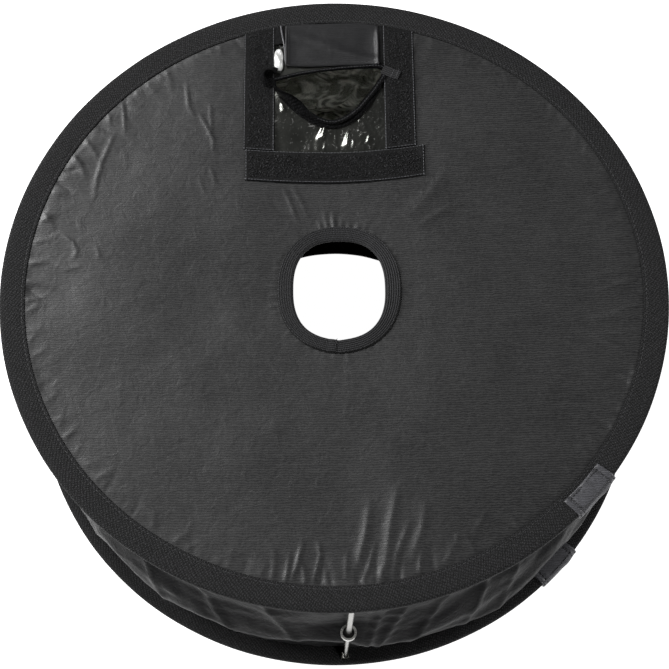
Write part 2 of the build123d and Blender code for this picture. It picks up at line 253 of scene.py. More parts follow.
def waves(angle, seed, counts):
    """A smooth wander round the ring, from -1 to 1, that meets itself."""
    chance = np.random.default_rng(seed)
    total = sum(chance.uniform(0.4, 1) * np.sin(n * angle + chance.uniform(0, 2 * np.pi)) for n in counts)
    return total / len(counts)


# Tape section from its inner edge over the top to the outer edge, about the hoop's middle
half_section = [
    (0.0, 0.3), (0.1, 0.95), (0.55, 1.3), (1.4, 1.42), (2.2, 1.3), (3.0, 1.56), (4.6, 1.78), (6.4, 1.98),
    (8.2, 2.2), (10.2, 2.42), (12.4, 2.62), (14.2, 2.7), (15.6, 2.6), (16.5, 2.2), (16.92, 1.4), (17.0, 0.5),
]
section = half_section + [(r, -z) for r, z in reversed(half_section)]

# Woven tape: matt polyester with a fine diagonal twill. The threads are 0.5 mm apart, and
# are drawn at 1.9 mm so that they show. A dark band at its inner edge, where it folds over, is painted shade.
TWILL = 1.9
FOLD_SHADE_WIDTH = 1.5
# Scale of a wave texture whose bands are 1 mm apart, where its space is in millimetres
WAVE_MM = 0.314


def woven_tape(name, dark, pale, gloss):
    """The same twill, as binding tape or as the darker casing of an elastic."""
    material, tree, shader = new_material(
        name, pale, {
            "Roughness": 0.82, "Specular IOR Level": gloss, "Sheen Weight": 0.02, "Sheen Roughness": 0.5
        }
    )
    cloth_map = add_node(tree, "ShaderNodeUVMap", uv_map="cloth")
    millimetres = add_node(
        tree, "ShaderNodeMapping", {"Vector": cloth_map, "Scale": PER_METRE, "Rotation": (0, 0, 0.9)}
    )
    twill = add_node(
        tree, "ShaderNodeTexWave",
        {"Vector": millimetres, "Scale": WAVE_MM / TWILL, "Distortion": 5.0, "Detail": 3.0, "Detail Scale": 2.6}
    )
    across = add_node(
        tree, "ShaderNodeMapping", {"Vector": cloth_map, "Scale": PER_METRE, "Rotation": (0, 0, -0.5)}
    )
    threads = add_node(
        tree, "ShaderNodeTexWave",
        {
            "Vector": across, "Scale": WAVE_MM / (TWILL * 0.8), "Distortion": 5.0, "Detail": 3.0,
            "Detail Scale": 2.2
        }
    )
    lint = add_node(
        tree, "ShaderNodeTexNoise", {"Vector": millimetres, "Scale": 0.75, "Detail": 4.0, "Roughness": 0.75}
    )
    weave = add_node(
        tree, "ShaderNodeMath", {0: twill.outputs["Fac"], 1: threads.outputs["Fac"]}, operation="MULTIPLY"
    )
    grain = add_node(tree, "ShaderNodeMath", {0: weave, 1: lint}, operation="ADD")
    light_and_dark = add_node(tree, "ShaderNodeMapRange", {"Value": grain, "From Min": 0.4, "From Max": 1.15})
    tone = add_node(
        tree, "ShaderNodeMixRGB", {"Fac": light_and_dark, "Color1": linear(dark), "Color2": linear(pale)}
    )
    side_way = add_node(tree, "ShaderNodeSeparateXYZ", {"Vector": cloth_map})
    # Painted shade: the colour turns near black over the first 1.5 mm from the tape's inner edge, on the binding and
    # casing tapes alike.
    fold_shade = add_node(
        tree, "ShaderNodeMapRange", {"Value": side_way.outputs["Y"], "From Max": FOLD_SHADE_WIDTH * MM},
        interpolation_type="SMOOTHSTEP"
    )
    folded = add_node(tree, "ShaderNodeMixRGB", {"Fac": fold_shade, "Color1": linear("#020202"), "Color2": tone})
    bump = add_node(tree, "ShaderNodeBump", {"Height": grain, "Strength": 0.8, "Distance": 0.45 * MM})
    wire(tree, shader, {"Base Color": folded, "Normal": bump})
    return material


binding_tape = woven_tape("polyester_twill_tape", "#050505", "#2d2d2e", 0.22)

angles = np.linspace(0, 2 * np.pi, AROUND, endpoint=False)
for side, rim_z, seed in (("front", FRONT_Z, 11), ("back", BACK_Z, 12)):
    wander = 0.25 * waves(angles, seed, (3, 5, 8, 13, 21))
    ripple = 0.22 * waves(angles, seed + 5, (9, 17, 31, 47, 63))
    rings = []
    for angle, r_off, z_off in zip(angles, wander, ripple):
        ring = []
        for inward, z in section:
            r = TAPE_INNER + inward + r_off * (1 if inward > 8 else 0.4)
            crown = 1 + (z_off if z > 0 else 0) * 0.3
            ring.append(round_axis(r, angle, rim_z + z * crown))
        rings.append(ring)
    tape_ring = sweep(f"{side}_binding_tape", rings, binding_tape, f"{side}_frame")
    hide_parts(f"{side}_binding")

# Black bonded thread, twisted
thread_black = one_texture(
    "bonded_thread_black", "#1d1d1f", {"Roughness": 0.55, "Sheen Weight": 0.1}, "ShaderNodeTexNoise",
    {"Scale": 3000.0},
    ("#101012", "#2e2e30"), relief=(0.3, 0.05),
)


# Stitching: one tree sets stitches along any seam, with their spacing, length and thickness
def new_tree(name, inputs, result):
    """An empty geometry tree with its inputs, each with its kind, and the node that gives them."""
    tree = bpy.data.node_groups.new(name, "GeometryNodeTree")
    for label, kind in inputs.items():
        tree.interface.new_socket(name=label, in_out="INPUT", socket_type=f"NodeSocket{kind}")
    tree.interface.new_socket(name=result, in_out="OUTPUT", socket_type="NodeSocketGeometry")
    return tree, add_node(tree, "NodeGroupInput").outputs


stitch_tree, given = new_tree("lockstitch", {
    "Seam": "Geometry", "Spacing": "Float", "Length": "Float", "Thickness": "Float", "Thread": "Material",
}, "Stitches")
seam_curve = add_node(stitch_tree, "GeometryNodeMeshToCurve", {"Mesh": given["Seam"]})
holes = add_node(
    stitch_tree, "GeometryNodeCurveToPoints", {"Curve": seam_curve, "Length": given["Spacing"]}, mode="LENGTH"
)
bead = add_node(stitch_tree, "GeometryNodeMeshUVSphere", {"Segments": 6, "Rings": 5, "Radius": 0.5})
shape = add_node(
    stitch_tree, "ShaderNodeCombineXYZ",
    {"X": given["Thickness"], "Y": given["Thickness"], "Z": given["Length"]}
)
laid = add_node(stitch_tree, "GeometryNodeInstanceOnPoints", {
    "Points": holes, "Instance": bead, "Rotation": holes.outputs["Rotation"], "Scale": shape,
})
real = add_node(stitch_tree, "GeometryNodeRealizeInstances", {"Geometry": laid})
thread_on = add_node(stitch_tree, "GeometryNodeSetMaterial", {"Geometry": real, "Material": given["Thread"]})
add_node(stitch_tree, "NodeGroupOutput", {"Stitches": thread_on})


def grow(name, base_mesh, group, inputs, body):
    """Runs a geometry tree on a mesh and keeps the result as a plain mesh of its own."""
    source = bpy.data.objects.new(name, base_mesh)
    bpy.context.collection.objects.link(source)
    modifier = source.modifiers.new("tree", "NODES")
    modifier.node_group = group
    identifiers = {
        s.name: s.identifier for s in group.interface.items_tree
        if s.item_type == "SOCKET" and s.in_out == "INPUT"
    }
    for label, value in inputs.items():
        modifier[identifiers[label]] = value
    bpy.context.view_layer.update()
    grown = bpy.data.meshes.new_from_object(source.evaluated_get(bpy.context.evaluated_depsgraph_get()))
    source.modifiers.remove(modifier)
    source.data = grown
    grown.name = name
    grown.shade_smooth()
    if body:
        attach(source, body)
    return source


def stitch(name, seams, body, spacing=3.0, length=2.3, thickness=0.5, thread=thread_black):
    """Stitches along lines of points in millimetres."""
    points, edges = [], []
    for line in seams:
        edges += [(len(points) + i, len(points) + i + 1) for i in range(len(line) - 1)]
        points += [tuple(np.asarray(p, float) * MM) for p in line]
    base = bpy.data.meshes.new(name)
    base.from_pydata(points, edges, [])
    return grow(name, base, stitch_tree, {
        "Spacing": spacing * MM, "Length": length * MM, "Thickness": thickness * MM, "Thread": thread,
    }, body)


def seam_on(face, x, y, over):
    """A line of points on a face(x, y), which stands a little over it."""
    x, y = np.broadcast_arrays(x, y)
    return np.column_stack([x, y, face(x, y) + over])


def circle(radius, z, start=0.0, end=360.0, steps=360):
    """Points on a level circle about the axis."""
    turn = np.radians(np.linspace(start, end, steps + 1))
    return [round_axis(radius, a, z) for a in turn]


for side, rim_z in (("front", FRONT_Z), ("back", BACK_Z)):
    rows = [circle(TAPE_INNER + STITCH_IN, rim_z + 1.32)]
    if side == "back":
        rows.append(circle(TAPE_INNER + STITCH_IN, rim_z - 1.32))
    stitch(f"{side}_binding_stitches", rows, f"{side}_frame", spacing=3.4, length=2.5)


# ---------------------------------------------------------------------------------------
# Joint covers: a scrap of the coated nylon is sewn round each rim where hoop and tape meet
# end to end. It is a loose sleeve, with a double row of stitches at both ends.
COVERS = (("front", FRONT_Z, -44.0), ("back", BACK_Z, -42.5))
COVER_HALF = 18.0


def soft_noise(x, y, cell, seed):
    """A smooth random surface from -1 to 1, with hills about one cell wide."""
    lattice = np.random.default_rng(seed).uniform(-1, 1, (97, 97))
    u, v = np.asarray(x, float) / cell + 500, np.asarray(y, float) / cell + 500
    i, j = np.floor(u).astype(int), np.floor(v).astype(int)
    a, b = u - i, v - j
    a, b = a ** 3 * (a * (a * 6 - 15) + 10), b ** 3 * (b * (b * 6 - 15) + 10)
    near = lattice[i % 97, j % 97] * (1 - a) + lattice[(i + 1) % 97, j % 97] * a
    far = lattice[i % 97, (j + 1) % 97] * (1 - a) + lattice[(i + 1) % 97, (j + 1) % 97] * a
    return near * (1 - b) + far * b


# Coated nylon: black 210-denier cloth with a polyurethane film on it. It has a satin shine,
# and its threads show as fine level lines. They are 0.2 mm apart, and are drawn at 1.2 to
# 1.7 mm, so that they show.
def coated_nylon(name, dark, pale, rough, thread, drape, gloss):
    """The same cloth: satin on the back panel and the flap, darker and more creased on the
    wall, and paler as the scraps round the rims' joints; the darker wall is painted shade and the paler scraps
    painted sheen."""
    material, tree, shader = new_material(name, pale, {"Sheen Weight": 0.04, "Specular IOR Level": gloss})
    place = add_node(tree, "ShaderNodeTexCoord").outputs["Object"]
    millimetres = add_node(tree, "ShaderNodeMapping", {"Vector": place, "Scale": PER_METRE})
    long_ways = add_node(tree, "ShaderNodeMapping", {"Vector": place, "Scale": (120, 1000, 1000)})
    weft = add_node(
        tree, "ShaderNodeTexWave",
        {
            "Vector": millimetres, "Scale": WAVE_MM / thread, "Distortion": 5.0, "Detail": 3.0,
            "Detail Scale": 1.4
        },
        bands_direction="Y"
    )
    slub = add_node(tree, "ShaderNodeTexNoise", {"Vector": long_ways, "Scale": 0.55, "Detail": 3.0})
    cloud = add_node(tree, "ShaderNodeTexNoise", {"Vector": millimetres, "Scale": 0.02, "Detail": 4.0})
    crush = add_node(
        tree, "ShaderNodeTexNoise",
        {"Vector": millimetres, "Scale": 0.11, "Detail": 5.0, "Roughness": 0.55, "Distortion": 0.6}
    )
    lines = add_node(tree, "ShaderNodeMath", {0: weft.outputs["Fac"], 1: slub}, operation="MULTIPLY")
    soft = add_node(tree, "ShaderNodeMapRange", {"Value": cloud, "To Min": 0.4, "To Max": 0.62})
    mixed = add_node(tree, "ShaderNodeMath", {0: lines, 1: soft}, operation="ADD")
    crepe = add_node(
        tree, "ShaderNodeTexNoise", {"Vector": millimetres, "Scale": 0.42, "Detail": 4.0, "Roughness": 0.8}
    )
    mottled = add_node(tree, "ShaderNodeMath", {0: mixed, 1: crepe}, operation="ADD")
    share = add_node(tree, "ShaderNodeMapRange", {"Value": mottled, "From Min": 0.9, "From Max": 1.6})
    tone = add_node(tree, "ShaderNodeMixRGB", {"Fac": share, "Color1": linear(dark), "Color2": linear(pale)})
    shine = add_node(
        tree, "ShaderNodeMapRange", {"Value": cloud, "To Min": rough - 0.04, "To Max": rough + 0.05}
    )
    crumpled = add_node(tree, "ShaderNodeBump", {"Height": crush, "Strength": drape, "Distance": 1.6 * MM})
    threads = add_node(
        tree, "ShaderNodeBump", {"Height": lines, "Strength": 0.35, "Distance": 0.12 * MM, "Normal": crumpled}
    )
    wire(tree, shader, {"Base Color": tone, "Roughness": shine, "Normal": threads})
    return material


nylon_panel = coated_nylon("coated_nylon_satin", "#151516", "#333333", 0.38, 1.7, 0.18, 0.5)
# The wall's darker copy of the cloth: painted shade.
nylon_wall_shaded = coated_nylon("coated_nylon_creased", "#080809", "#171718", 0.3, 1.7, 0.5, 0.04)
# The scraps' paler copy of the cloth: painted sheen.
nylon_scrap_sheen = coated_nylon("coated_nylon_scrap", "#303032", "#57575b", 0.38, 1.2, 0.3, 0.5)

for side, rim_z, azimuth in COVERS:
    span = np.linspace(-COVER_HALF, COVER_HALF, 40)
    rings = []
    for s in span:
        angle = math.radians(azimuth) + s / RIM
        end = abs(s) / COVER_HALF
        ring = []
        outer = [
            (4.0, 2.1), (4.1, 2.75), (4.8, 3.0), (6.2, 3.05), (8.0, 3.2), (12.0, 3.45), (15.5, 3.4),
            (17.3, 2.9), (18.0, 1.4), (18.9, 0.6), (19.1, 0.0)
        ]
        if side == "back":
            outline = (
                outer
                + [
                    (18.2, -0.9), (17.4, -2.4), (15.0, -3.3), (7.0, -3.4), (6.3, -3.2), (6.4, -2.9),
                    (15.0, -2.95), (17.0, -1.8)
                ]
            )
        else:
            outline = outer + [(18.2, -0.9), (17.6, -2.2), (17.1, -2.6), (17.1, -1.2)]
        outline += [
            (17.2, 1.6), (16.9, 2.4), (15.2, 2.8), (12.0, 2.85), (8.0, 2.5), (6.4, 2.3), (5.0, 2.15),
            (4.3, 2.05)
        ]
        for n, (inward, z) in enumerate(outline):
            shown = n < len(outer)
            swell = (
                0.5 * soft_noise(s, inward * 1.2, 6.0, 31 if side == "back" else 32)
                * (1 - end ** 4) if shown else 0
            )
            tuck = 0.45 * (end > 0.8) - 0.5 * (0.68 < end < 0.8) if shown else 0.0
            r = TAPE_INNER + inward + (0.35 * soft_noise(s, 0, 8.0, 33) if inward > 18 else 0)
            ring.append(round_axis(r, angle, rim_z + z + (swell + tuck if 4.5 < inward < 17 else 0)))
        rings.append(ring)
    cover = sweep(f"{side}_joint_sleeve", rings, nylon_scrap_sheen, f"{side}_frame", closed=False)
    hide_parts(f"{side}_joint_cover")
    rows = []
    for s in (-16.6, -13.4, 13.4, 16.6):
        angle = math.radians(azimuth) + s / RIM
        across = ((4.9, 3.05), (6.2, 3.1), (8.0, 3.2), (12.0, 3.4), (15.5, 3.35), (17.2, 2.9), (18.3, 1.4))
        rows.append([round_axis(TAPE_INNER + inward, angle, rim_z + z) for inward, z in across])
    first, last = azimuth - math.degrees(16 / RIM), azimuth + math.degrees(16 / RIM)
    rows.append(circle(TAPE_INNER + 16.2, rim_z + 3.2, first, last, 20))
    rows.append(circle(TAPE_INNER + 5.6, rim_z + 3.1, first, last, 20))
    stitch(
        f"{side}_joint_sleeve_stitches", rows, f"{side}_frame", spacing=2.4, length=2.2,
        thickness=0.8
    )


# ---------------------------------------------------------------------------------------
# Front: one layer of white translucent nylon, stretched flat between the front rim and the
# hole. Light leaves the softbox through it. It lies on the floor.
HOLE = 101.0


def ring_sheet(name, inner, outer, height, thickness, rows, around, material, body):
    """A closed flat ring of cloth. inner and outer give the radius at an angle."""
    turn = np.linspace(0, 2 * np.pi, around, endpoint=False)
    rings = []
    for a in turn:
        share = np.linspace(0, 1, rows)
        r = inner(a) + (outer(a) - inner(a)) * share
        x, y = r * np.cos(a), r * np.sin(a)
        top = height(x, y)
        over = np.stack([x, y, top], -1)
        under = np.stack([x, y, top - thickness], -1)[::-1]
        rings.append(np.vstack([over, under]))
    return sweep(name, rings, material, body)


# White nylon taffeta: lets about half the light through, softly. Its threads are 0.2 mm
# apart, and are drawn at 1 mm.
TAFFETA = 1.0
white_nylon, tree, shader = new_material(
    "white_nylon_diffuser", "#f1f1ef", {
        "Roughness": 0.6, "Transmission Weight": 0.35, "IOR": 1.3, "Sheen Weight": 0.05
    }
)
place = add_node(tree, "ShaderNodeTexCoord").outputs["Object"]
millimetres = add_node(tree, "ShaderNodeMapping", {"Vector": place, "Scale": PER_METRE})
warp = add_node(
    tree, "ShaderNodeTexWave", {"Vector": millimetres, "Scale": WAVE_MM / TAFFETA, "Distortion": 1.0},
    bands_direction="X"
)
weft = add_node(
    tree, "ShaderNodeTexWave", {"Vector": millimetres, "Scale": WAVE_MM / TAFFETA, "Distortion": 1.0},
    bands_direction="Y"
)
weave = add_node(tree, "ShaderNodeMath", {0: warp.outputs["Fac"], 1: weft.outputs["Fac"]}, operation="MULTIPLY")
tone = add_node(
    tree, "ShaderNodeMixRGB", {"Fac": weave, "Color1": linear("#e6e6e4"), "Color2": linear("#f6f6f4")}
)
bump = add_node(tree, "ShaderNodeBump", {"Height": weave, "Strength": 0.3, "Distance": 0.1 * MM})
wire(tree, shader, {"Base Color": tone, "Normal": bump})


def front_height(x, y):
    """The diffuser's upper face. Its seams pucker it a little at both edges."""
    r, a = np.hypot(x, y), np.arctan2(y, x)
    rim = np.exp(-((212 - r) / 12) ** 2) * np.sin(a * 90) + np.exp(-((r - 104) / 9) ** 2) * np.sin(a * 44)
    return FRONT_Z + 0.25 + 0.35 * soft_noise(x, y, 38, 41) + 0.25 * rim


diffuser = ring_sheet(
    "front_diffuser_cloth", lambda a: HOLE + 1.2, lambda a: 214.0, front_height, 0.5, 44, 360,
    white_nylon, "front_frame",
)
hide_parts("front_diffuser")


# ---------------------------------------------------------------------------------------
# Edge tape of the front hole: the same tape, 10 mm wide, folded over the white cloth's edge
# and over the foot of the lens tunnel.
hole_section = [(0.0, 0.25), (0.12, 0.8), (0.6, 1.0), (5.0, 1.03), (8.2, 0.98), (9.6, 0.85), (10.0, 0.5)]
hole_section += [(r, -z) for r, z in reversed(hole_section)]
rings = []
for angle, wave in zip(angles[::2], 0.2 * waves(angles[::2], 21, (4, 7, 15, 33))):
    rings.append([round_axis(HOLE + w + wave, angle, FRONT_Z + z) for w, z in hole_section])
hole_tape = sweep("front_hole_tape", rings, binding_tape, "front_frame")
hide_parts("front_hole_binding")
stitch("front_hole_stitches", [circle(HOLE + 8.2, FRONT_Z + 1.02)], "front_frame", spacing=3.4)


# ---------------------------------------------------------------------------------------
# Side wall: a strip of coated nylon sewn between the two rims. It is longer than the drum is
# deep, so it hangs in folds, and folding the drum away has left sharp creases in it.
WALL_R, WALL_LOW, WALL_HIGH = 214.0, 5.6, 160.0
WALL_SAG = 11.0
# Widths of its smallest crinkles and of the long ones, which fit 97 and 40 times round it
WALL_CELL = 2 * math.pi * WALL_R / 97
LONG_CELL = WALL_CELL * 2.425
CLOTH_THICK = 0.5
# Folds that the struts and the seams pull in it: azimuth at the foot and at the top, height
# in mm
TUGS = (
    (-87, -74, 3.6), (-88, -79, 2.2), (-86, -64, 3.0), (-80, -52, 2.4), (-68, -44, 2.6), (-60, -38, 2.0),
    (-92, -120, 2.2), (-104, -138, 2.2), (-120, -150, 2.0), (2, 16, 3.0), (0, -14, 2.4), (92, 78, 3.0),
    (93, 110, 2.4), (182, 196, 3.0), (181, 167, 2.4), (30, 52, 2.0), (140, 122, 2.2), (215, 232, 2.0),
)


def ridge(phase):
    """A triangle wave from -1 to 1: cloth that is flat between sharp creases."""
    return 2 * np.abs(2 * (phase / (2 * np.pi) % 1) - 1) - 1


def wall_radius(angle, up):
    """How far out the wall's outer face is. up goes from 0 at the front rim to 1. The slack
    cloth bellies out low down and turns under itself there, above the front rim's tape."""
    chance = np.random.default_rng(5)
    slack = np.clip(4 * up * (1 - up), 0, 1)
    x, y = angle * WALL_R, up * (WALL_HIGH - WALL_LOW)
    belly_at = 0.15 + 0.05 * np.sin(3 * angle + 1) + 0.03 * np.sin(7 * angle) + 0.02 * np.sin(16 * angle + 2)
    belly = 6.5 * np.exp(-np.abs((up - belly_at) / np.where(up < belly_at, 0.06, 0.2)) ** 1.6)
    warp = 0.5 * np.sin(3 * angle + 5 * up) + 0.3 * np.sin(7 * angle - 6 * up + 1.0)
    folds = np.zeros(np.broadcast(angle, up).shape)
    for count, lean, height in (
        (5, 14.0, 1.7), (8, -17.0, 1.3), (11, 24.0, 0.9), (15, -31.0, 0.7), (21, 42.0, 0.5), (29, -52.0, 0.35)
    ):
        where = (
            0.5 + 0.5 * np.sin(chance.integers(2, 6) * angle + chance.uniform(3, 7) * up + chance.uniform(0, 6))
        )
        one_way = 0.5 + 0.5 * math.copysign(1, lean) * np.sin(2 * angle)
        folds += (
            height * where * (0.25 + one_way)
            * ridge(count * angle + lean * up + 2.2 * warp + chance.uniform(0, 6))
        )
    crushed = (
        0.7 * np.sin(5 * angle + 2) ** 2 * ridge(0.42 * x * 0.35 + y * 0.42 + 5 * warp)
        * ridge(0.2 * x - 0.31 * y + 3 * warp)
    )
    gathers = np.exp(-up * 12) + np.exp(-(1 - up) * 9)
    seam = np.clip(up / 0.03, 0, 1) * np.clip((1 - up) / 0.03, 0, 1)
    pleats = (
        0.4 * np.sin(97 * angle + 2 * np.sin(9 * angle)) + 0.25 * np.sin(151 * angle + 3 * np.sin(5 * angle))
    )
    crinkle = 0.6 * soft_noise(x, y * 4.6, LONG_CELL, 45) + 0.3 * soft_noise(x, y * 2.6, WALL_CELL, 46)
    tug = 0
    for foot, top, height in TUGS:
        line = np.radians(foot + (top - foot) * up)
        gap = np.angle(np.exp(1j * (angle - line)))
        tug = (
            tug
            + 0.8 * height * np.exp(
                -np.abs(gap * WALL_R / 3.6) ** 1.3
            ) * np.sin(np.pi * np.clip(up, 0, 1)) ** 0.5
        )
    sag = WALL_SAG * np.clip(slack, 0, 1) * np.clip(up / 0.35, 0, 1)
    narrow = -6.0 * (1 - np.clip(up / 0.05, 0, 1)) ** 2
    return (
        WALL_R + narrow - sag + belly + (0.9 * folds + crushed + crinkle) * slack ** 0.5
        + 0.6 * pleats * gathers * seam + tug
    )


def hung_wall(name, inward, material, rows, around):
    """The wall or its lining, as a closed shell half a millimetre thick."""
    turn = np.linspace(0, 2 * np.pi, around, endpoint=False)
    up = np.linspace(0, 1, rows)
    a, u = np.meshgrid(turn, up, indexing="ij")
    r = wall_radius(a, u) - inward
    z = WALL_LOW + (WALL_HIGH - WALL_LOW) * u
    outer = np.stack([r * np.cos(a), r * np.sin(a), z], -1)
    inner = np.stack([(r - CLOTH_THICK) * np.cos(a), (r - CLOTH_THICK) * np.sin(a), z], -1)[:, ::-1]
    wall = sweep(name, np.concatenate([outer, inner], 1), material, "front_frame")
    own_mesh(wall)
    return wall


side_wall = hung_wall("side_wall_cloth", 0.0, nylon_wall_shaded, 64, 720)
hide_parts("side_wall")

# Silver cloth: nylon with a vacuum-metallised face. It reflects softly and is crushed all
# over into small facets, which break up what it reflects. Pale swirls in its colour are painted reflections.
silver_cloth, tree, shader = new_material(
    "metallised_nylon", "#b4b6b2", {"Metallic": 0.9, "Specular IOR Level": 0.5}
)
place = add_node(tree, "ShaderNodeTexCoord").outputs["Object"]
millimetres = add_node(tree, "ShaderNodeMapping", {"Vector": place, "Scale": PER_METRE})
crush = add_node(
    tree, "ShaderNodeTexNoise",
    {"Vector": millimetres, "Scale": 0.035, "Detail": 4.0, "Roughness": 0.5, "Distortion": 3.6}
)
fine = add_node(
    tree, "ShaderNodeTexNoise", {"Vector": millimetres, "Scale": 0.22, "Detail": 4.0, "Distortion": 2.0}
)
both = add_node(tree, "ShaderNodeMath", {0: crush, 1: fine}, operation="ADD")
shine = add_node(tree, "ShaderNodeMapRange", {"Value": crush, "To Min": 0.16, "To Max": 0.42})
# Painted reflection: pale swirls mixed into the base colour.
reflection_swirls = add_node(
    tree, "ShaderNodeMapRange", {"Value": crush, "From Min": 0.42, "From Max": 0.68},
    interpolation_type="SMOOTHSTEP"
)
tone = add_node(
    tree, "ShaderNodeMixRGB", {"Fac": reflection_swirls, "Color1": linear("#6f7166"), "Color2": linear("#dfe0d8")}
)
bump = add_node(tree, "ShaderNodeBump", {"Height": both, "Strength": 0.9, "Distance": 2.2 * MM})
wire(tree, shader, {"Roughness": shine, "Base Color": tone, "Normal": bump})

wall_lining = hung_wall("side_wall_silver", 1.7, silver_cloth, 64, 720)
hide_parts("side_wall_lining")


# ---------------------------------------------------------------------------------------
# Lens tunnel: a cone of black cloth with a silver face outside, sewn to the collar at its
# narrow end and to the front hole's tape at its wide one. It keeps light off the lens.
COLLAR_X = 3.5
TUNNEL_LOW, TUNNEL_HIGH = 3.85, 152.9


def hung_tunnel(name, outward, material, rows, around):
    """The tunnel or its silver face, as a closed shell half a millimetre thick."""
    turn = np.linspace(0, 2 * np.pi, around, endpoint=False)
    up = np.linspace(0, 1, rows)
    a, u = np.meshgrid(turn, up, indexing="ij")
    pleats = 0.7 * np.sin(26 * a + np.sin(5 * a)) * np.exp(-(1 - u) * 5) + 0.5 * np.sin(40 * a) * np.exp(-u * 7)
    dents = (
        1.2 * ridge(9 * a + 7 * u + np.sin(4 * a)) * np.sin(np.pi * u)
        + 0.5 * ridge(21 * a - 12 * u) * np.sin(np.pi * u)
    )
    shells = []
    for depth in (outward, outward + CLOTH_THICK):
        wide = HOLE + 4.0 + depth
        x = (1 - u) * wide * np.cos(a) + u * (COLLAR_X + (38.2 + depth) * np.cos(a))
        y = (1 - u) * wide * np.sin(a) + u * (43.3 + depth) * np.sin(a)
        push = (pleats + dents) * np.clip(u / 0.04, 0, 1) * np.clip((1 - u) / 0.04, 0, 1)
        shells.append(
            np.stack(
                [x + push * np.cos(a), y + push * np.sin(a), TUNNEL_LOW + (TUNNEL_HIGH - TUNNEL_LOW) * u], -1
            )
        )
    cone = sweep(name, np.concatenate([shells[0], shells[1][:, ::-1]], 1), material, "front_frame")
    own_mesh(cone)
    return cone


# Matt black cotton: a plain weave that kills stray light
blackout_cotton = one_texture(
    "blackout_cotton", "#2c2526", {"Roughness": 1.0, "Specular IOR Level": 0.0}, "ShaderNodeTexNoise",
    {"Scale": 0.6, "Detail": 3.0}, ("#171314", "#453a3c"), relief=(0.5, 0.3), stretch=(60, 60, 700),
)

tunnel = hung_tunnel("lens_tunnel_cloth", 0.0, blackout_cotton, 40, 320)
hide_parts("lens_tunnel")
tunnel_silver = hung_tunnel("lens_tunnel_silver", 0.6, silver_cloth, 24, 240)
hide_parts("lens_tunnel_lining")


# ---------------------------------------------------------------------------------------
# Back panel: one layer of coated nylon, sewn to the rim all round and drawn in a little at
# the collar. The seams gather it into short puckers, and storage has left long soft creases.
DISH = 9.0
COLLAR_IN = (31.2, 36.3)
COLLAR_OUT = (41.2, 46.3)
WINDOW_X = (-41.0, 37.0)
WINDOW_Y = 104.0


def dished(r):
    """Height of the back panel's upper face at the radius r, before its wrinkles."""
    share = (TAPE_INNER - r) / (TAPE_INNER - COLLAR_OUT[0])
    return BACK_Z + 0.5 - DISH * np.clip(share, 0, None)


def creases(x, y, marks):
    """Height of a set of creases. Each has its line of points, half-width, height and form:
    a crease fades at both ends, and a pucker only at the end away from its seam."""
    total = np.zeros(np.shape(x))
    for line, width, height, is_pucker in marks:
        line = np.asarray(line, float)
        steps = np.linalg.norm(np.diff(line, axis=0), axis=1)
        away, share, done = np.full(total.shape, 1e9), np.zeros(total.shape), 0.0
        for (ax, ay), (bx, by), step in zip(line[:-1], line[1:], steps):
            t = np.clip(((x - ax) * (bx - ax) + (y - ay) * (by - ay)) / step ** 2, 0, 1)
            gap = np.hypot(x - ax - t * (bx - ax), y - ay - t * (by - ay))
            nearer = gap < away
            away, share = np.where(nearer, gap, away), np.where(nearer, (done + t * step) / steps.sum(), share)
            done += step
        fade = np.cos(share * np.pi / 2) if is_pucker else np.sin(share * np.pi) ** 0.7
        total += height * np.exp(-(np.sqrt((away / width) ** 2 + 0.02) ** 1.5)) * fade
    return total


def on_panel(azimuth, r):
    return round_axis(r, math.radians(azimuth), 0.0)[:2]


# Long creases, each as its points, half-width and height
panel_marks = [
    ([(-149, 146), (-147, 130), (-146, 118)], 1.6, 0.75),
    ([(-153, 120), (-161, 97), (-164, 84), (-166, 66)], 2.6, 0.8),
    ([(-104, 160), (-102, 141), (-97, 132)], 2.0, 0.8),
    ([(-95, 136), (-88, 123), (-84, 114), (-84, 104)], 2.2, 0.9),
    ([(-87, 143), (-86, 132), (-85, 119)], 1.8, 0.6),
    ([(-86, 94), (-84, 87), (-81, 79)], 1.5, 0.6),
    ([(-94, 85), (-92, 80), (-89, 72)], 1.5, 0.5),
    ([(-186, 39), (-178, 33), (-175, 27), (-178, 20)], 2.2, 0.9),
    ([(-190, 18), (-181, 13), (-170, 16)], 3.0, 0.6),
    ([(-162, 31), (-161, 27), (-159, 21)], 1.6, 0.5),
    ([(-35, 78), (-29, 63), (-24, 49)], 2.0, 0.7),
    ([(-30, 82), (-22, 66), (-17, 52)], 2.2, 0.5),
    ([(100, 70), (73, 56), (54, 43)], 4.5, 0.6),
    ([(84, 96), (70, 74), (50, 52)], 6.0, 0.5),
    ([(-21, -178), (-25, -194), (-29, -207)], 2.0, 1.0),
    ([(-12, -178), (-10, -188), (-15, -208)], 1.9, 0.9),
    ([(22, -150), (18, -176), (13, -194), (10, -210)], 4.6, 1.1),
    ([(25, -178), (22, -190), (15, -209)], 1.9, 0.7),
    ([(40, -140), (34, -170), (31, -193), (24, -210)], 5.2, 1.2),
    ([(47, -165), (38, -188), (35, -206)], 3.0, 0.9),
    ([(57, -152), (55, -169), (46, -194)], 4.2, 0.9),
    ([(78, -172), (72, -188), (66, -198)], 3.4, 0.7),
    ([(6, -186), (6, -206)], 2.0, 0.6),
    ([(96, -160), (86, -176)], 3.0, 0.5),
]
# The first ones lie open on the cloth, and are finer than those that start at the near seam
OPEN_CREASES = 13
panel_marks = [
    (line, width * (0.5 if n < OPEN_CREASES else 0.62), height * (0.6 if n < OPEN_CREASES else 0.8), False)
    for n, (line, width, height) in enumerate(panel_marks)
]
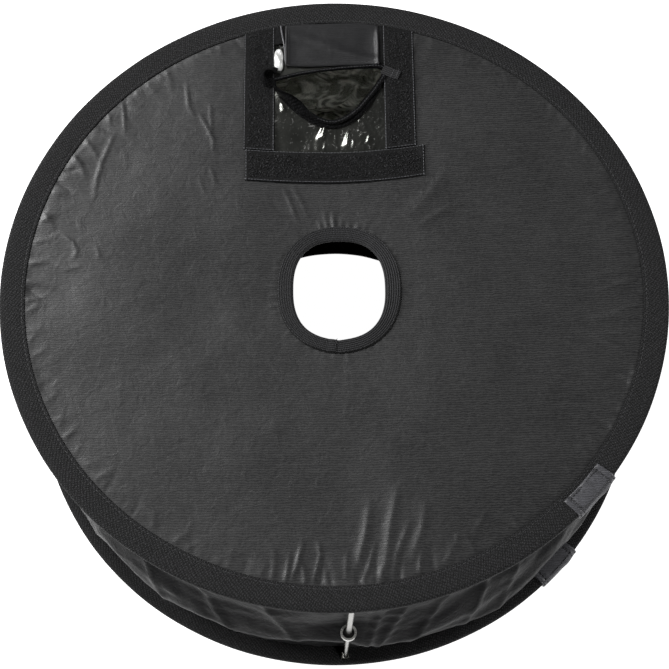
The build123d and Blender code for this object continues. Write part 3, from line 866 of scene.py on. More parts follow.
# Puckers at the rim's seam, thickest on the right and at the near side. Each stretch of them
# has its greatest strength, its azimuth and how far it spreads.
RIM_PUCKERS = ((1.25, -6, 28), (0.75, -30, 9), (0.75, -84, 26), (0.6, 156, 22))
chance = np.random.default_rng(8)
azimuth = -180.0
while azimuth < 180.0:
    strong = max(
        0.28, *(most * math.exp(-((azimuth - middle) / spread) ** 2) for most, middle, spread in RIM_PUCKERS)
    )
    strong = max(strong, 0.5 * math.exp(-((abs(azimuth) - 176) / 14) ** 2))
    reach = chance.uniform(9, 22) * (0.7 + strong)
    lean = chance.uniform(-3.5, 3.5)
    width = chance.uniform(1.1, 2.6)
    height = min(strong * chance.uniform(0.7, 1.6), 0.6 * width) * (1 if chance.uniform() < 0.7 else -0.8)
    panel_marks.append((
        [
            on_panel(azimuth, 210), on_panel(azimuth + lean * 0.3, 210 - reach * 0.5),
            on_panel(azimuth + lean, 210 - reach)
        ], width, height, True,
    ))
    azimuth += chance.uniform(1.8, 4.6)
# Gathers round the collar, closest together above it
for azimuth in np.arange(-180, 180, 7.0):
    strong = max(
        0.25, math.exp(-((azimuth - 88) / 26) ** 2), 0.55 * math.exp(-((azimuth + 12) / 22) ** 2),
        0.5 * math.exp(-((abs(azimuth) - 172) / 20) ** 2)
    )
    turn = azimuth + chance.uniform(-2.5, 2.5)
    reach = chance.uniform(7, 16) * (0.6 + 0.7 * strong)
    start = [
        (COLLAR_OUT[0] - 2) * math.cos(math.radians(turn)) + COLLAR_X,
        (COLLAR_OUT[1] - 2) * math.sin(math.radians(turn))
    ]
    far = [start[0] + reach * math.cos(math.radians(turn)), start[1] + reach * math.sin(math.radians(turn))]
    panel_marks.append(([start, far], chance.uniform(1.1, 1.8), strong * chance.uniform(0.5, 1.1), True))


def panel_top(x, y):
    """The back panel's upper face with its wrinkles."""
    r = np.hypot(x, y)
    seam = np.clip((209.0 - r) / 5.0, 0, 1) ** 2 * (3 - 2 * np.clip((209.0 - r) / 5.0, 0, 1))
    slack = 0.55 * soft_noise(x, y, 74, 51) + 0.22 * soft_noise(x, y, 31, 52) + 0.07 * soft_noise(x, y, 13, 53)
    return dished(r) + seam * (slack + creases(x, y, panel_marks))


def cut_cloth(name, outline, openings, step, top, thickness, material, body, fine_above=None):
    """Cloth cut to an outline with openings in it, as a closed shell below the face top(x, y).
    Where the face curves more than fine_above, its points lie twice as close."""
    def within(points, loop):
        inside = np.zeros(len(points), bool)
        for (ax, ay), (bx, by) in zip(loop, np.roll(loop, -1, axis=0)):
            if ay != by:
                crosses = (ay > points[:, 1]) != (by > points[:, 1])
                inside ^= crosses & (points[:, 0] < (bx - ax) * (points[:, 1] - ay) / (by - ay) + ax)
        return inside

    def from_edge(points, loop):
        nearest = np.full(len(points), 1e9)
        for a, b in zip(loop, np.roll(loop, -1, axis=0)):
            t = np.clip(((points - a) @ (b - a)) / max((b - a) @ (b - a), 1e-9), 0, 1)
            nearest = np.minimum(nearest, np.linalg.norm(points - a - t[:, None] * (b - a), axis=1))
        return nearest

    loops = []
    for loop in (outline, *openings):
        loop = np.asarray(loop, float)
        dense = []
        for a, b in zip(loop, np.roll(loop, -1, axis=0)):
            parts = max(1, int(np.linalg.norm(b - a) / step + 0.5))
            dense += [a + (b - a) * i / parts for i in range(parts)]
        loops.append(np.array(dense))
    low, high = loops[0].min(0), loops[0].max(0)
    pitch = step / 2 if fine_above else step
    columns, rows = np.meshgrid(np.arange(low[0], high[0], pitch), np.arange(low[1], high[1], pitch * 0.866))
    columns = columns + (np.arange(columns.shape[0]) % 2)[:, None] * pitch / 2
    coarse = (np.arange(columns.shape[0])[:, None] % 2 == 0) & (np.arange(columns.shape[1])[None, :] % 2 == 0)
    inner = np.stack([columns.ravel(), rows.ravel()], -1)
    keep = within(inner, loops[0])
    for loop in loops[1:]:
        keep &= ~within(inner, loop)
    coarse = coarse.ravel()[keep]
    inner = inner[keep]
    if fine_above:
        x, y = inner.T
        curve = np.abs(
            top(x + pitch, y) + top(x - pitch, y) + top(x, y + pitch) + top(x, y - pitch) - 4 * top(x, y)
        )
        chosen = coarse | (curve > fine_above)
        inner = inner[chosen]
    for loop in loops:
        inner = inner[from_edge(inner, loop) > pitch * 0.6]
    edges, count = [], 0
    for loop in loops:
        edges += [(count + i, count + (i + 1) % len(loop)) for i in range(len(loop))]
        count += len(loop)
    flat = np.vstack([*loops, inner])
    found = geometry.delaunay_2d_cdt([Vector(p) for p in flat], edges, [], 1, 1e-5, False)
    flat, faces = np.array([tuple(p) for p in found[0]]), np.array([list(f) for f in found[2]])
    middle = flat[faces].mean(1)
    keep = within(middle, loops[0])
    for loop in loops[1:]:
        keep &= ~within(middle, loop)
    faces = faces[keep]
    used = np.unique(faces)
    renumber = np.full(len(flat), -1)
    renumber[used] = np.arange(len(used))
    flat, faces = flat[used], renumber[faces]
    a, b, c = (flat[faces[:, i]] for i in range(3))
    turned = (b - a)[:, 0] * (c - a)[:, 1] - (b - a)[:, 1] * (c - a)[:, 0] < 0
    faces[turned] = faces[turned][:, ::-1]
    z = top(flat[:, 0], flat[:, 1])
    n = len(flat)
    points = np.vstack([np.column_stack([flat, z]), np.column_stack([flat, z - thickness])])
    sides = np.vstack([faces[:, [0, 1]], faces[:, [1, 2]], faces[:, [2, 0]]])
    seen = {tuple(s) for s in sides.tolist()}
    rim = [(i, j) for i, j in seen if (j, i) not in seen]
    shell = faces.tolist() + (faces[:, ::-1] + n).tolist() + [[i, i + n, j + n, j] for i, j in sorted(rim)]
    return make_piece(name, points, shell, material, body)


def arc_points(radius, start, end, steps):
    """Points on a flat arc about the axis, in degrees."""
    return [on_panel(a, radius) for a in np.linspace(start, end, steps + 1)]


def oval(half_width, half_height, square=2.0, steps=180, tip=0.0):
    """The collar's outline: an oval, squarer as square grows, drawn out to a tip below."""
    made = []
    for a in np.linspace(0, 2 * np.pi, steps, endpoint=False):
        c, s = math.cos(a), math.sin(a)
        r = (abs(c / half_width) ** square + abs(s / half_height) ** square) ** (-1 / square)
        gap = math.degrees(math.atan2(math.sin(a + math.pi / 2), math.cos(a + math.pi / 2)))
        r += tip * math.exp(-abs(gap) / 16)
        made.append((COLLAR_X + r * c, r * s))
    return made


CLOTH_EDGE = 214.0
tuck = 5.0
window_left, window_right, window_low = WINDOW_X[0] - tuck, WINDOW_X[1] + tuck, WINDOW_Y - tuck
right_turn = math.degrees(math.acos(window_right / CLOTH_EDGE))
left_turn = math.degrees(math.acos(window_left / CLOTH_EDGE))
panel_outline = (
    arc_points(CLOTH_EDGE, left_turn, 360 + right_turn, 300)
    + [(window_right, window_low), (window_left, window_low)]
)
back_panel = cut_cloth(
    "back_panel_cloth", panel_outline, [oval(COLLAR_OUT[0] - 5, COLLAR_OUT[1] - 5)], 3.0, panel_top, 0.5,
    nylon_panel, "back_frame", fine_above=0.028,
)
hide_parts("back_panel")

# Its lining, silver face down, lies against it
panel_lining = cut_cloth(
    "back_panel_silver", panel_outline, [oval(COLLAR_OUT[0] - 5, COLLAR_OUT[1] - 5)], 6.0, lambda x,
    y: panel_top(x, y) - 1.2, 0.4,
    silver_cloth, "back_frame",
)
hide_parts("back_lining")


# ---------------------------------------------------------------------------------------
# Lens collar: 11 mm woven elastic with rubber cords in it, sewn round the opening so that it
# grips a lens. Its two ends meet in a tacked seam at the near side.
RIBS = 7
BAND = 11.0
KNIT = 1.1

# Elastic: rubber cords in a matt black polyester knit. The cords stand up as ribs, and the
# furrows between them are darkened with painted shade. They are 1.2 mm apart, and are drawn at 1.6 mm so that they
# show.
elastic, tree, shader = new_material(
    "knitted_elastic", "#141415", {"Roughness": 0.74, "Specular IOR Level": 0.25, "Sheen Weight": 0.05}
)
cloth_map = add_node(tree, "ShaderNodeUVMap", uv_map="cloth")
millimetres = add_node(tree, "ShaderNodeMapping", {"Vector": cloth_map, "Scale": PER_METRE})
knit = add_node(
    tree, "ShaderNodeTexWave",
    {"Vector": millimetres, "Scale": WAVE_MM / KNIT, "Distortion": 1.5, "Detail": 2.0}, bands_direction="X"
)
cords = add_node(
    tree, "ShaderNodeTexWave",
    {
        "Vector": millimetres, "Scale": WAVE_MM / (BAND / RIBS), "Distortion": 0.5, "Detail": 1.0,
        "Phase Offset": math.pi / 2
    },
    bands_direction="Y"
)
lint = add_node(tree, "ShaderNodeTexNoise", {"Vector": millimetres, "Scale": 0.8, "Detail": 4.0})
grain = add_node(tree, "ShaderNodeMath", {0: knit.outputs["Fac"], 1: lint}, operation="MULTIPLY")
# Painted shade: the cord bands darken the colour in the furrows between the ribs.
ribbed = add_node(tree, "ShaderNodeMath", {0: grain, 1: cords.outputs["Fac"]}, operation="ADD")
share = add_node(tree, "ShaderNodeMapRange", {"Value": ribbed, "From Min": 0.35, "From Max": 1.25})
tone = add_node(
    tree, "ShaderNodeMixRGB", {"Fac": share, "Color1": linear("#030303"), "Color2": linear("#303032")}
)
# Painted shade: a dark line along the elastic's outer edge, where it meets the panel.
side_way = add_node(tree, "ShaderNodeSeparateXYZ", {"Vector": millimetres})
from_edge = add_node(tree, "ShaderNodeMath", {0: side_way.outputs["Y"], 1: BAND}, operation="SUBTRACT")
edge_gap = add_node(tree, "ShaderNodeMath", {0: from_edge}, operation="ABSOLUTE")
collar_edge_shade = add_node(tree, "ShaderNodeMapRange", {"Value": edge_gap, "From Min": 0.5, "From Max": 1.4})
collar_edge_shaded = add_node(tree, "ShaderNodeMixRGB", {"Fac": collar_edge_shade, "Color1": linear("#030303"), "Color2": tone})
bump = add_node(tree, "ShaderNodeBump", {"Height": ribbed, "Strength": 0.7, "Distance": 0.35 * MM})
wire(tree, shader, {"Base Color": collar_edge_shaded, "Normal": bump})


def rolled_in(share):
    """How far the elastic's inner edge rolls down into the opening."""
    return -1.1 * max(0.0, 1 - share * 5) ** 2


steps = 400
inside = np.array(oval(COLLAR_IN[0], COLLAR_IN[1], 2.5, steps, 1.6))
outside = np.array(oval(COLLAR_OUT[0] + 1.0, COLLAR_OUT[1] + 0.6, 2.2, steps, 1.0))
rings = []
for n in range(steps):
    turn = 360.0 * n / steps
    from_seam = ((turn - 268 + 180) % 360) - 180
    overlap = 0.55 * np.clip(1 - abs(from_seam + 4.0) / 4.0, 0, 1) ** 0.5
    ring = []
    for share in np.linspace(0, 1, RIBS * 6 + 1):
        x, y = inside[n] + (outside[n] - inside[n]) * share
        cord = abs(math.sin(share * RIBS * math.pi)) ** 0.6
        edge = min(1.0, (1 - share) * 9) ** 0.5
        notch = -0.5 * math.exp(-(from_seam / 0.8) ** 2)
        uneven = 0.2 * soft_noise(turn, share * 4, 9.0, 61)
        z = (
            dished(math.hypot(x, y)) + 0.5 + 0.75 * edge + 0.45 * cord * edge + rolled_in(share) + overlap
            + notch + uneven
        )
        ring.append((x, y, z))
    for share in (1.0, 0.75, 0.5, 0.25, 0.0):
        x, y = inside[n] + (outside[n] - inside[n]) * share
        ring.append((x, y, dished(math.hypot(x, y)) + 0.1 + rolled_in(share)))
    rings.append(ring)
top_way, under_way = np.linspace(0, BAND, RIBS * 6 + 1), BAND * (1 + np.array([0.02, 0.25, 0.5, 0.75, 0.98]))
collar = sweep(
    "lens_collar_elastic", rings, elastic, "back_frame",
    across=(np.concatenate([top_way, under_way]), 2 * BAND)
)
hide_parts("lens_elastic")
seam = [inside[n] + (outside[n] - inside[n]) * 0.93 for n in range(steps)]
seam = [(x, y, dished(math.hypot(x, y)) + 1.35) for x, y in seam + seam[:1]]
tack = [
    (COLLAR_X - 2.6 + 0.5 * (-1) ** i, -COLLAR_IN[1] - 2 - i * 0.9, dished(COLLAR_IN[1] + 4) + 2.3)
    for i in range(8)
]
stitch(
    "lens_collar_stitches", [seam, tack], "back_frame", spacing=2.8, length=2.0, thickness=0.4
)


# ---------------------------------------------------------------------------------------
# Loop tape: the soft half of hook-and-loop tape, sewn down flat on three sides of the flash
# window. A flash bracket's straps stick to it. Its nylon loops are brushed into a pile.
LOOP_HEIGHT = 1.4

# Woven ground of the loop tape, which shows as a smooth selvedge along both edges
loop_ground, tree, shader = new_material(
    "loop_tape_ground", "#0c0c0d", {"Roughness": 0.8, "Specular IOR Level": 0.2}
)
place = add_node(tree, "ShaderNodeTexCoord").outputs["Object"]
millimetres = add_node(tree, "ShaderNodeMapping", {"Vector": place, "Scale": PER_METRE})
speck = add_node(tree, "ShaderNodeTexVoronoi", {"Vector": millimetres, "Scale": 0.6}, feature="F1")
mottle = add_node(
    tree, "ShaderNodeTexNoise", {"Vector": millimetres, "Scale": 0.5, "Detail": 5.0, "Roughness": 0.7}
)
grain = add_node(tree, "ShaderNodeMath", {0: speck, 1: mottle}, operation="MULTIPLY")
share = add_node(tree, "ShaderNodeMapRange", {"Value": grain, "From Min": 0.1, "From Max": 0.5})
tone = add_node(
    tree, "ShaderNodeMixRGB", {"Fac": share, "Color1": linear("#020202"), "Color2": linear("#171718")}
)
bump = add_node(tree, "ShaderNodeBump", {"Height": grain, "Strength": 0.7, "Distance": 0.4 * MM})
wire(tree, shader, {"Base Color": tone, "Normal": bump})
# The loops themselves: fine nylon filament, with grey specks painted in as glints where the loops catch the light
loop_pile, tree, shader = new_material(
    "loop_tape_pile", "#161617", {"Roughness": 0.6, "Specular IOR Level": 0.3}
)
place = add_node(tree, "ShaderNodeTexCoord").outputs["Object"]
fleck = add_node(tree, "ShaderNodeTexNoise", {"Vector": place, "Scale": 800.0, "Detail": 3.0, "Roughness": 0.7})
# Painted highlight: noise picks out grey specks on the black pile as glints.
pile_glints = add_node(
    tree, "ShaderNodeMapRange", {"Value": fleck, "From Min": 0.47, "From Max": 0.6},
    interpolation_type="SMOOTHSTEP"
)
tone = add_node(
    tree, "ShaderNodeMixRGB", {"Fac": pile_glints, "Color1": linear("#020202"), "Color2": linear("#444446")}
)
wire(tree, shader, {"Base Color": tone})
# Grey thread that sews the loop tape and the tabs down
thread_grey = one_texture(
    "bonded_thread_grey", "#5f6064", {"Roughness": 0.5, "Sheen Weight": 0.1}, "ShaderNodeTexNoise",
    {"Scale": 2500.0},
    ("#2c2d2f", "#606165"),
)

# The pile: short bowed loops of filament stand all over the face, each turned at random
pile_tree, given = new_tree("brushed_loops", {
    "Face": "Geometry", "Density": "Float", "Loop": "Float", "Filament": "Float", "Seed": "Int", "Nylon": "Material",
}, "Pile")
spots = add_node(
    pile_tree, "GeometryNodeDistributePointsOnFaces",
    {"Mesh": given["Face"], "Density": given["Density"], "Seed": given["Seed"]}
)
bow = add_node(
    pile_tree, "GeometryNodeCurveArc",
    {"Resolution": 5, "Radius": given["Loop"], "Start Angle": -0.35, "Sweep Angle": 3.84}
)
thin = add_node(pile_tree, "GeometryNodeCurvePrimitiveCircle", {"Resolution": 3, "Radius": given["Filament"]})
filament = add_node(
    pile_tree, "GeometryNodeCurveToMesh", {"Curve": bow, "Profile Curve": thin, "Fill Caps": True}
)
upright = add_node(
    pile_tree, "GeometryNodeTransform", {"Geometry": filament, "Rotation": (math.radians(90), 0, 0)}
)
turned = add_node(
    pile_tree, "FunctionNodeRandomValue", {0: (-0.7, -0.7, 0.0), 1: (0.7, 0.7, 6.28), "Seed": given["Seed"]},
    data_type="FLOAT_VECTOR"
)
uneven = add_node(
    pile_tree, "FunctionNodeRandomValue", {2: 0.6, 3: 1.25, "Seed": given["Seed"]}, data_type="FLOAT"
)
laid = add_node(pile_tree, "GeometryNodeInstanceOnPoints", {
    "Points": spots, "Instance": upright, "Rotation": turned.outputs["Value"], "Scale": uneven.outputs[1],
})
real = add_node(pile_tree, "GeometryNodeRealizeInstances", {"Geometry": laid})
nylon_on = add_node(pile_tree, "GeometryNodeSetMaterial", {"Geometry": real, "Material": given["Nylon"]})
add_node(pile_tree, "NodeGroupOutput", {"Pile": nylon_on})

strips = {
    "left": (WINDOW_X[0] - 22.0, WINDOW_X[0], WINDOW_Y, None),
    "right": (WINDOW_X[1], WINDOW_X[1] + 22.0, WINDOW_Y, None),
    "bottom": (-61.5, 64.5, WINDOW_Y - 24.0, WINDOW_Y - 0.1),
}
for seed, (side, (x0, x1, y0, y1)) in enumerate(strips.items()):
    def strip_low(x):
        """The panel draws the ends of the bottom strip up a little, most on the right."""
        return y0 + np.where(x > 0, 4.6, 2.4) * (x / 62.0) ** 2

    def strip_end(x):
        """The side strips run up to the rim's tape."""
        return np.sqrt((TAPE_INNER + 0.4) ** 2 - x ** 2) if y1 is None else strip_low(x) + y1 - y0

    def strip_top(x, y, base=0.0):
        """The tape's upper face, with the round of its edges and its slight cockle."""
        r = np.hypot(x, y)
        edge = np.minimum(np.minimum(x - x0, x1 - x), np.minimum(y - strip_low(x), strip_end(x) - y))
        return (
            dished(r) + base + (LOOP_HEIGHT - base) * (1 - np.clip(1 - edge / 0.9, 0, 1) ** 2 * 0.7)
            + 0.25 * soft_noise(x, y, 17, 71 + seed)
        )

    wide = np.linspace(x0, x1, int((x1 - x0) / 1.5) + 1)
    high = np.linspace(0, 1, int(((y1 or 206.0) - y0) / 1.5) + 1)
    wide = np.unique(np.concatenate([wide, [x0 + 0.35, x0 + 0.9, x1 - 0.35, x1 - 0.9]]))
    high = np.unique(
        np.concatenate([high, [0.004, 0.01, 0.99, 0.996] if y1 is None else [0.015, 0.04, 0.96, 0.985]])
    )
    x, share = np.meshgrid(wide, high, indexing="ij")
    y = strip_low(x) + (strip_end(x) - strip_low(x)) * share
    over = np.stack([x, y, strip_top(x, y)], -1)
    under = np.stack([x, y, dished(np.hypot(x, y)) - 0.3], -1)
    rows, columns = x.shape
    faces = quads(rows, columns)
    edge_points = [(i, 0) for i in range(rows)] + [(rows - 1, j) for j in range(1, columns)]
    edge_points += (
        [(i, columns - 1) for i in range(rows - 2, -1, -1)] + [(0, j) for j in range(columns - 2, 0, -1)]
    )
    loop = [i * columns + j for i, j in edge_points]
    n = rows * columns
    walls = [[a, a + n, b + n, b] for a, b in zip(loop, loop[1:] + loop[:1])]
    shell = faces[:, ::-1].tolist() + (faces + n).tolist() + walls
    strip = make_piece(
        f"loop_tape_{side}", np.vstack([over.reshape(-1, 3), under.reshape(-1, 3)]), shell, loop_ground,
        "back_frame"
    )
    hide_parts(f"loop_strip_{side}")

    margin = 1.9
    inner_x = (x0 + margin <= x) & (x <= x1 - margin)
    inner_y = (strip_low(x) + margin <= y) & (y <= strip_end(x) - margin)
    inside_faces = [f for f in faces if (inner_x & inner_y).ravel()[f].all()]
    face = bpy.data.meshes.new(f"loop_pile_{side}")
    face.from_pydata((over.reshape(-1, 3) * MM).tolist(), [], [list(map(int, f[::-1])) for f in inside_faces])
    grow(f"loop_pile_{side}", face, pile_tree, {
        "Density": 0.62 / MM ** 2, "Loop": 0.66 * MM, "Filament": 0.15 * MM, "Seed": seed, "Nylon": loop_pile,
    }, "back_frame")

    sew = []
    for x_seam in (x0 + 0.8, x1 - 0.8):
        ys = np.linspace(float(strip_low(x_seam)) + 0.8, float(strip_end(x_seam)) - 1.2, 40)
        sew.append(seam_on(strip_top, x_seam, ys, 0.05))
    for share_y in ((0.0,) if y1 is None else (0.0, 1.0)):
        xs = np.linspace(x0 + 0.8, x1 - 0.8, 40)
        ys = strip_low(xs) + 0.8 if share_y == 0 else strip_end(xs) - 0.8
        sew.append(seam_on(strip_top, xs, ys, 0.05))
    stitch(
        f"loop_tape_{side}_stitches", sew, "back_frame", spacing=2.2, length=2.1, thickness=0.5,
        thread=thread_grey
    )


# ---------------------------------------------------------------------------------------
# Window panel: thin metallised film cloth that fills the flash window, slack and crackled,
# with a D-shaped mouth cut in it for the flash head.
MOUTH = [
    (-43.5, 158.8), (-41.0, 161.6), (-33.0, 164.0), (-23.0, 166.4), (-8.0, 168.9), (9.0, 170.9), (24.0, 171.8),
    (33.5, 171.9),
    (37.6, 169.6), (37.6, 165.0), (31.0, 153.6), (24.0, 144.4), (17.5, 136.6), (9.0, 130.0), (0.5, 127.2),
    (-8.5, 129.2),
    (-17.0, 134.0), (-25.0, 140.4), (-33.0, 147.8), (-40.0, 154.6),
]


def smooth_loop(points, steps):
    """A closed smooth line through a loop of points."""
    points = np.asarray(points, float)
    t = np.arange(steps) * len(points) / steps
    i = np.floor(t).astype(int)
    f = (t - i)[:, None]
    a, b, c, d = (points[(i + k) % len(points)] for k in (-1, 0, 1, 2))
    return 0.5 * (2 * b + (c - a) * f + (2 * a - 5 * b + 4 * c - d) * f ** 2 + (3 * b - a - 3 * c + d) * f ** 3)


# Sharp facets that the film has been crushed into: the crest's two ends, and how wide the
# side is that falls away from it, to the left and back
FACETS = [
    ((-6.5, 114.5), (-5.0, 126.5), 4.6), ((10.6, 108.0), (11.8, 121.5), 4.0),
    ((14.8, 106.5), (15.2, 114.0), 2.4), ((2.6, 110.5), (2.2, 122.0), 1.5),
    ((25.2, 111.0), (26.6, 119.0), 2.2), ((-6.0, 105.5), (-5.0, 111.0), 1.6), ((3.6, 105.5), (3.4, 110.0), 1.5),
    ((-33.0, 137.0), (-36.0, 143.5), 3.6),
    ((-39.2, 108.0), (-40.2, 126.0), 0.8), ((33.0, 128.0), (34.0, 133.0), 1.4),
    ((29.0, 106.0), (30.4, 112.5), 1.4), ((20.2, 116.0), (21.2, 120.5), 1.3),
    ((-30.0, 121.0), (-27.0, 125.0), 0.9), ((-26.0, 128.0), (-21.0, 131.0), 0.8),
    ((-18.0, 112.5), (-16.5, 115.0), 0.8), ((33.5, 142.0), (34.5, 147.0), 1.0),
]
chance = np.random.default_rng(12)
for _ in range(40):
    ax, ay = chance.uniform(19, 38), chance.uniform(106, 132)
    FACETS.append(
        ((ax, ay), (ax + chance.uniform(-0.8, 2.0), ay + chance.uniform(1.6, 4.0)), chance.uniform(0.9, 1.7))
    )


def film_top(x, y):
    """The film's upper face: soft dents with sharp crushed facets, gathered above the strip."""
    r = np.hypot(x, y)
    warp = 1.6 * soft_noise(x, y, 15, 81)
    dents = (
        0.5 * soft_noise(x, y, 19, 83) + 0.12 * ridge(x * 0.21 + y * 0.11 + warp)
        + 0.1 * ridge(x * -0.13 + y * 0.24 + warp * 1.3 + 2)
    )
    patch = np.clip(0.25 + soft_noise(x, y, 13, 85) + np.clip((x - 14) / 25, -0.5, 0.9), 0, 1)
    small = (
        patch
        * (
            0.07 * ridge(x * 0.9 + y * 0.5 + 2 * warp) + 0.06 * ridge(x * 1.3 - y * 0.8 - 2 * warp)
            + 0.035 * ridge(x * 2.1 + y * 1.7 + 3 * warp)
        )
    )
    hem = np.exp(-np.clip(y - WINDOW_Y, 0, None) / 7)
    gathers = hem * 0.22 * ridge(x * 0.7 + 2.5 * soft_noise(x, y, 9, 82))
    crushed = np.zeros(np.shape(x))
    for (ax, ay), (bx, by), wide in FACETS:
        length = math.hypot(bx - ax, by - ay)
        along = ((x - ax) * (bx - ax) + (y - ay) * (by - ay)) / length ** 2
        off = ((x - ax) * (by - ay) - (y - ay) * (bx - ax)) / length
        fall = np.where(off < 0, 1 + off / (wide * np.clip(1.25 - along, 0.3, 1.25)), 1 - off / 0.8)
        crushed = np.maximum(
            crushed,
            0.27 * wide * np.clip(fall, 0, 1) * np.clip(
                4 * (1 - along) + 0.4, 0, 1
            ) * np.clip(4 * along + 0.6, 0, 1)
        )
    edge = np.clip(np.minimum(np.minimum(x - WINDOW_X[0], WINDOW_X[1] - x), y - WINDOW_Y) / 4, 0, 1)
    return dished(r) - 0.25 + edge * (dents + small + gathers) + np.clip(edge * 2, 0, 1) * crushed


# Metallised film cloth: aluminium on thin nylon, glossy like foil where it lies flat, with a
# web of fine white lines painted in patches as glints off its crinkles
film, tree, shader = new_material(
    "metallised_film_cloth", "#6a6b68", {"Metallic": 0.82, "Specular IOR Level": 0.5}
)
place = add_node(tree, "ShaderNodeTexCoord").outputs["Object"]
millimetres = add_node(tree, "ShaderNodeMapping", {"Vector": place, "Scale": PER_METRE})
crackle = add_node(
    tree, "ShaderNodeTexNoise",
    {"Vector": millimetres, "Scale": 0.22, "Detail": 5.0, "Roughness": 0.6, "Distortion": 1.8}
)
haze = add_node(tree, "ShaderNodeTexNoise", {"Vector": millimetres, "Scale": 0.045, "Detail": 3.0})
glint_web = add_node(
    tree, "ShaderNodeTexVoronoi", {"Vector": millimetres, "Scale": 0.2, "Randomness": 1.0},
    feature="DISTANCE_TO_EDGE"
)
# Painted highlight: a web of thin white lines, in patches, stands for glints off the crinkles.
thin = add_node(tree, "ShaderNodeMapRange", {"Value": glint_web, "From Max": 0.07, "To Min": 1.0, "To Max": 0.0})
where = add_node(tree, "ShaderNodeMapRange", {"Value": crackle, "From Min": 0.56, "From Max": 0.66})
glint_mask = add_node(tree, "ShaderNodeMath", {0: thin, 1: where}, operation="MULTIPLY")
shine = add_node(
    tree, "ShaderNodeMapRange",
    {"Value": haze, "From Min": 0.35, "From Max": 0.7, "To Min": 0.12, "To Max": 0.24}
)
tone = add_node(
    tree, "ShaderNodeMixRGB", {"Fac": haze, "Color1": linear("#383936"), "Color2": linear("#6e6f6b")}
)
glint_tone = add_node(tree, "ShaderNodeMixRGB", {"Fac": glint_mask, "Color1": tone, "Color2": linear("#f2f2ee")})
bump = add_node(tree, "ShaderNodeBump", {"Height": crackle, "Strength": 0.1, "Distance": 0.9 * MM})
wire(tree, shader, {"Roughness": shine, "Base Color": glint_tone, "Normal": bump})

film_x = (WINDOW_X[0] - 4.4, WINDOW_X[1] + 4.4)
film_turns = [math.degrees(math.acos(x / CLOTH_EDGE)) for x in film_x]
film_outline = (
    arc_points(CLOTH_EDGE, film_turns[1], film_turns[0], 30)
    + [(film_x[0], WINDOW_Y - 4.4), (film_x[1], WINDOW_Y - 4.4)]
)
window_panel = cut_cloth(
    "window_panel_film", film_outline, [
        smooth_loop(MOUTH, 160)
    ], 1.0, film_top, 0.4, film, "back_frame",
)
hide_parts("slot_panel")


# ---------------------------------------------------------------------------------------
# Mouth hem: 5 mm elastic in a black casing, sewn along the mouth's edge. Its slack end is
# twisted over at the left corner, where it passes under its tab.
def ribbon(path, widths, thicknesses, rolls, sides=14):
    """Cross-sections of a flat ribbon with round edges along a path of points."""
    path = np.asarray(path, float)
    rings = []
    for i, point in enumerate(path):
        ahead = path[min(i + 1, len(path) - 1)] - path[max(i - 1, 0)]
        ahead /= np.linalg.norm(ahead)
        side = np.cross(ahead, (0, 0, 1))
        side /= np.linalg.norm(side)
        up = np.cross(side, ahead)
        c, s = math.cos(rolls[i]), math.sin(rolls[i])
        flat_way, thin_way = side * c + up * s, up * c - side * s
        ring = []
        for a in np.linspace(0, 2 * np.pi, sides, endpoint=False):
            w = math.copysign(abs(math.cos(a)) ** 0.7, math.cos(a)) * widths[i] / 2
            h = math.copysign(abs(math.sin(a)) ** 0.7, math.sin(a)) * thicknesses[i] / 2
            ring.append(point + flat_way * w + thin_way * h)
        rings.append(ring)
    return rings


casing_tape = woven_tape("polyester_twill_casing", "#020202", "#1b1b1c", 0.0)
hem_steps = 260
hem_line = smooth_loop(MOUTH, hem_steps)
corner = int(hem_steps * 0.985)
hem_line = np.roll(hem_line, -corner, axis=0)
hem_line = np.vstack([hem_line, hem_line[:1]])
share = np.linspace(0, 1, hem_steps + 1)
lower_left = np.exp(-((share - 0.9) / 0.075) ** 2)
upper_run = np.exp(-((share - 0.2) / 0.16) ** 4)
widths = 4.6 + 4.2 * lower_left - 1.6 * upper_run
thicknesses = 1.6 + 0.9 * lower_left
rolls = (
    -0.35 + 0.5 * upper_run + 2.4 * np.clip((share - 0.82) / 0.12, 0, 1) * np.clip((1.0 - share) / 0.04, 0, 1)
)
heights = dished(np.hypot(*hem_line.T)) + 1.15 + 1.6 * lower_left + 0.5 * np.sin(share * 40) * 0.3
hem_path = np.column_stack([hem_line, heights])
hem = sweep(
    "mouth_hem_elastic", ribbon(hem_path, widths, thicknesses, rolls), casing_tape, "back_frame",
    closed=False
)
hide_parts("mouth_elastic")
# The casing's second fold lies beside it along the mouth's lower edge
fold_from, fold_to = int(hem_steps * 0.52), int(hem_steps * 0.93)
fold_line = hem_line[fold_from:fold_to]
away = fold_line - np.array([-2.0, 152.0])
away /= np.linalg.norm(away, axis=1)[:, None]
fold_line = fold_line + away * 3.4
fold_share = np.linspace(0, 1, len(fold_line))
fold_path = np.column_stack([fold_line, dished(np.hypot(*fold_line.T)) + 0.75 + 0.3 * np.sin(fold_share * 12)])
taper = np.sin(np.pi * np.clip(fold_share, 0.03, 0.97)) ** 0.4
sweep(
    "mouth_hem_casing", ribbon(
        fold_path, 3.0 * taper, 1.1 * taper, 0.25 * np.sin(fold_share * 9)
    ), casing_tape, "back_frame", closed=False,
)
hem_seam = np.column_stack([hem_line, heights + 0.75])[int(hem_steps * 0.03):int(hem_steps * 0.78)]
stitch(
    "mouth_hem_stitches", [hem_seam], "back_frame", spacing=2.2, length=1.9, thickness=0.4,
    thread=thread_grey
)


# ---------------------------------------------------------------------------------------
# Tabs: short ends of the same elastic that anchor the mouth's corners on the loop tape. The
# left one is folded into a loop that stands up, the right one is stitched down flat.
def on_tape(x, y, over):
    return (x, y, float(dished(math.hypot(x, y))) + LOOP_HEIGHT + over)


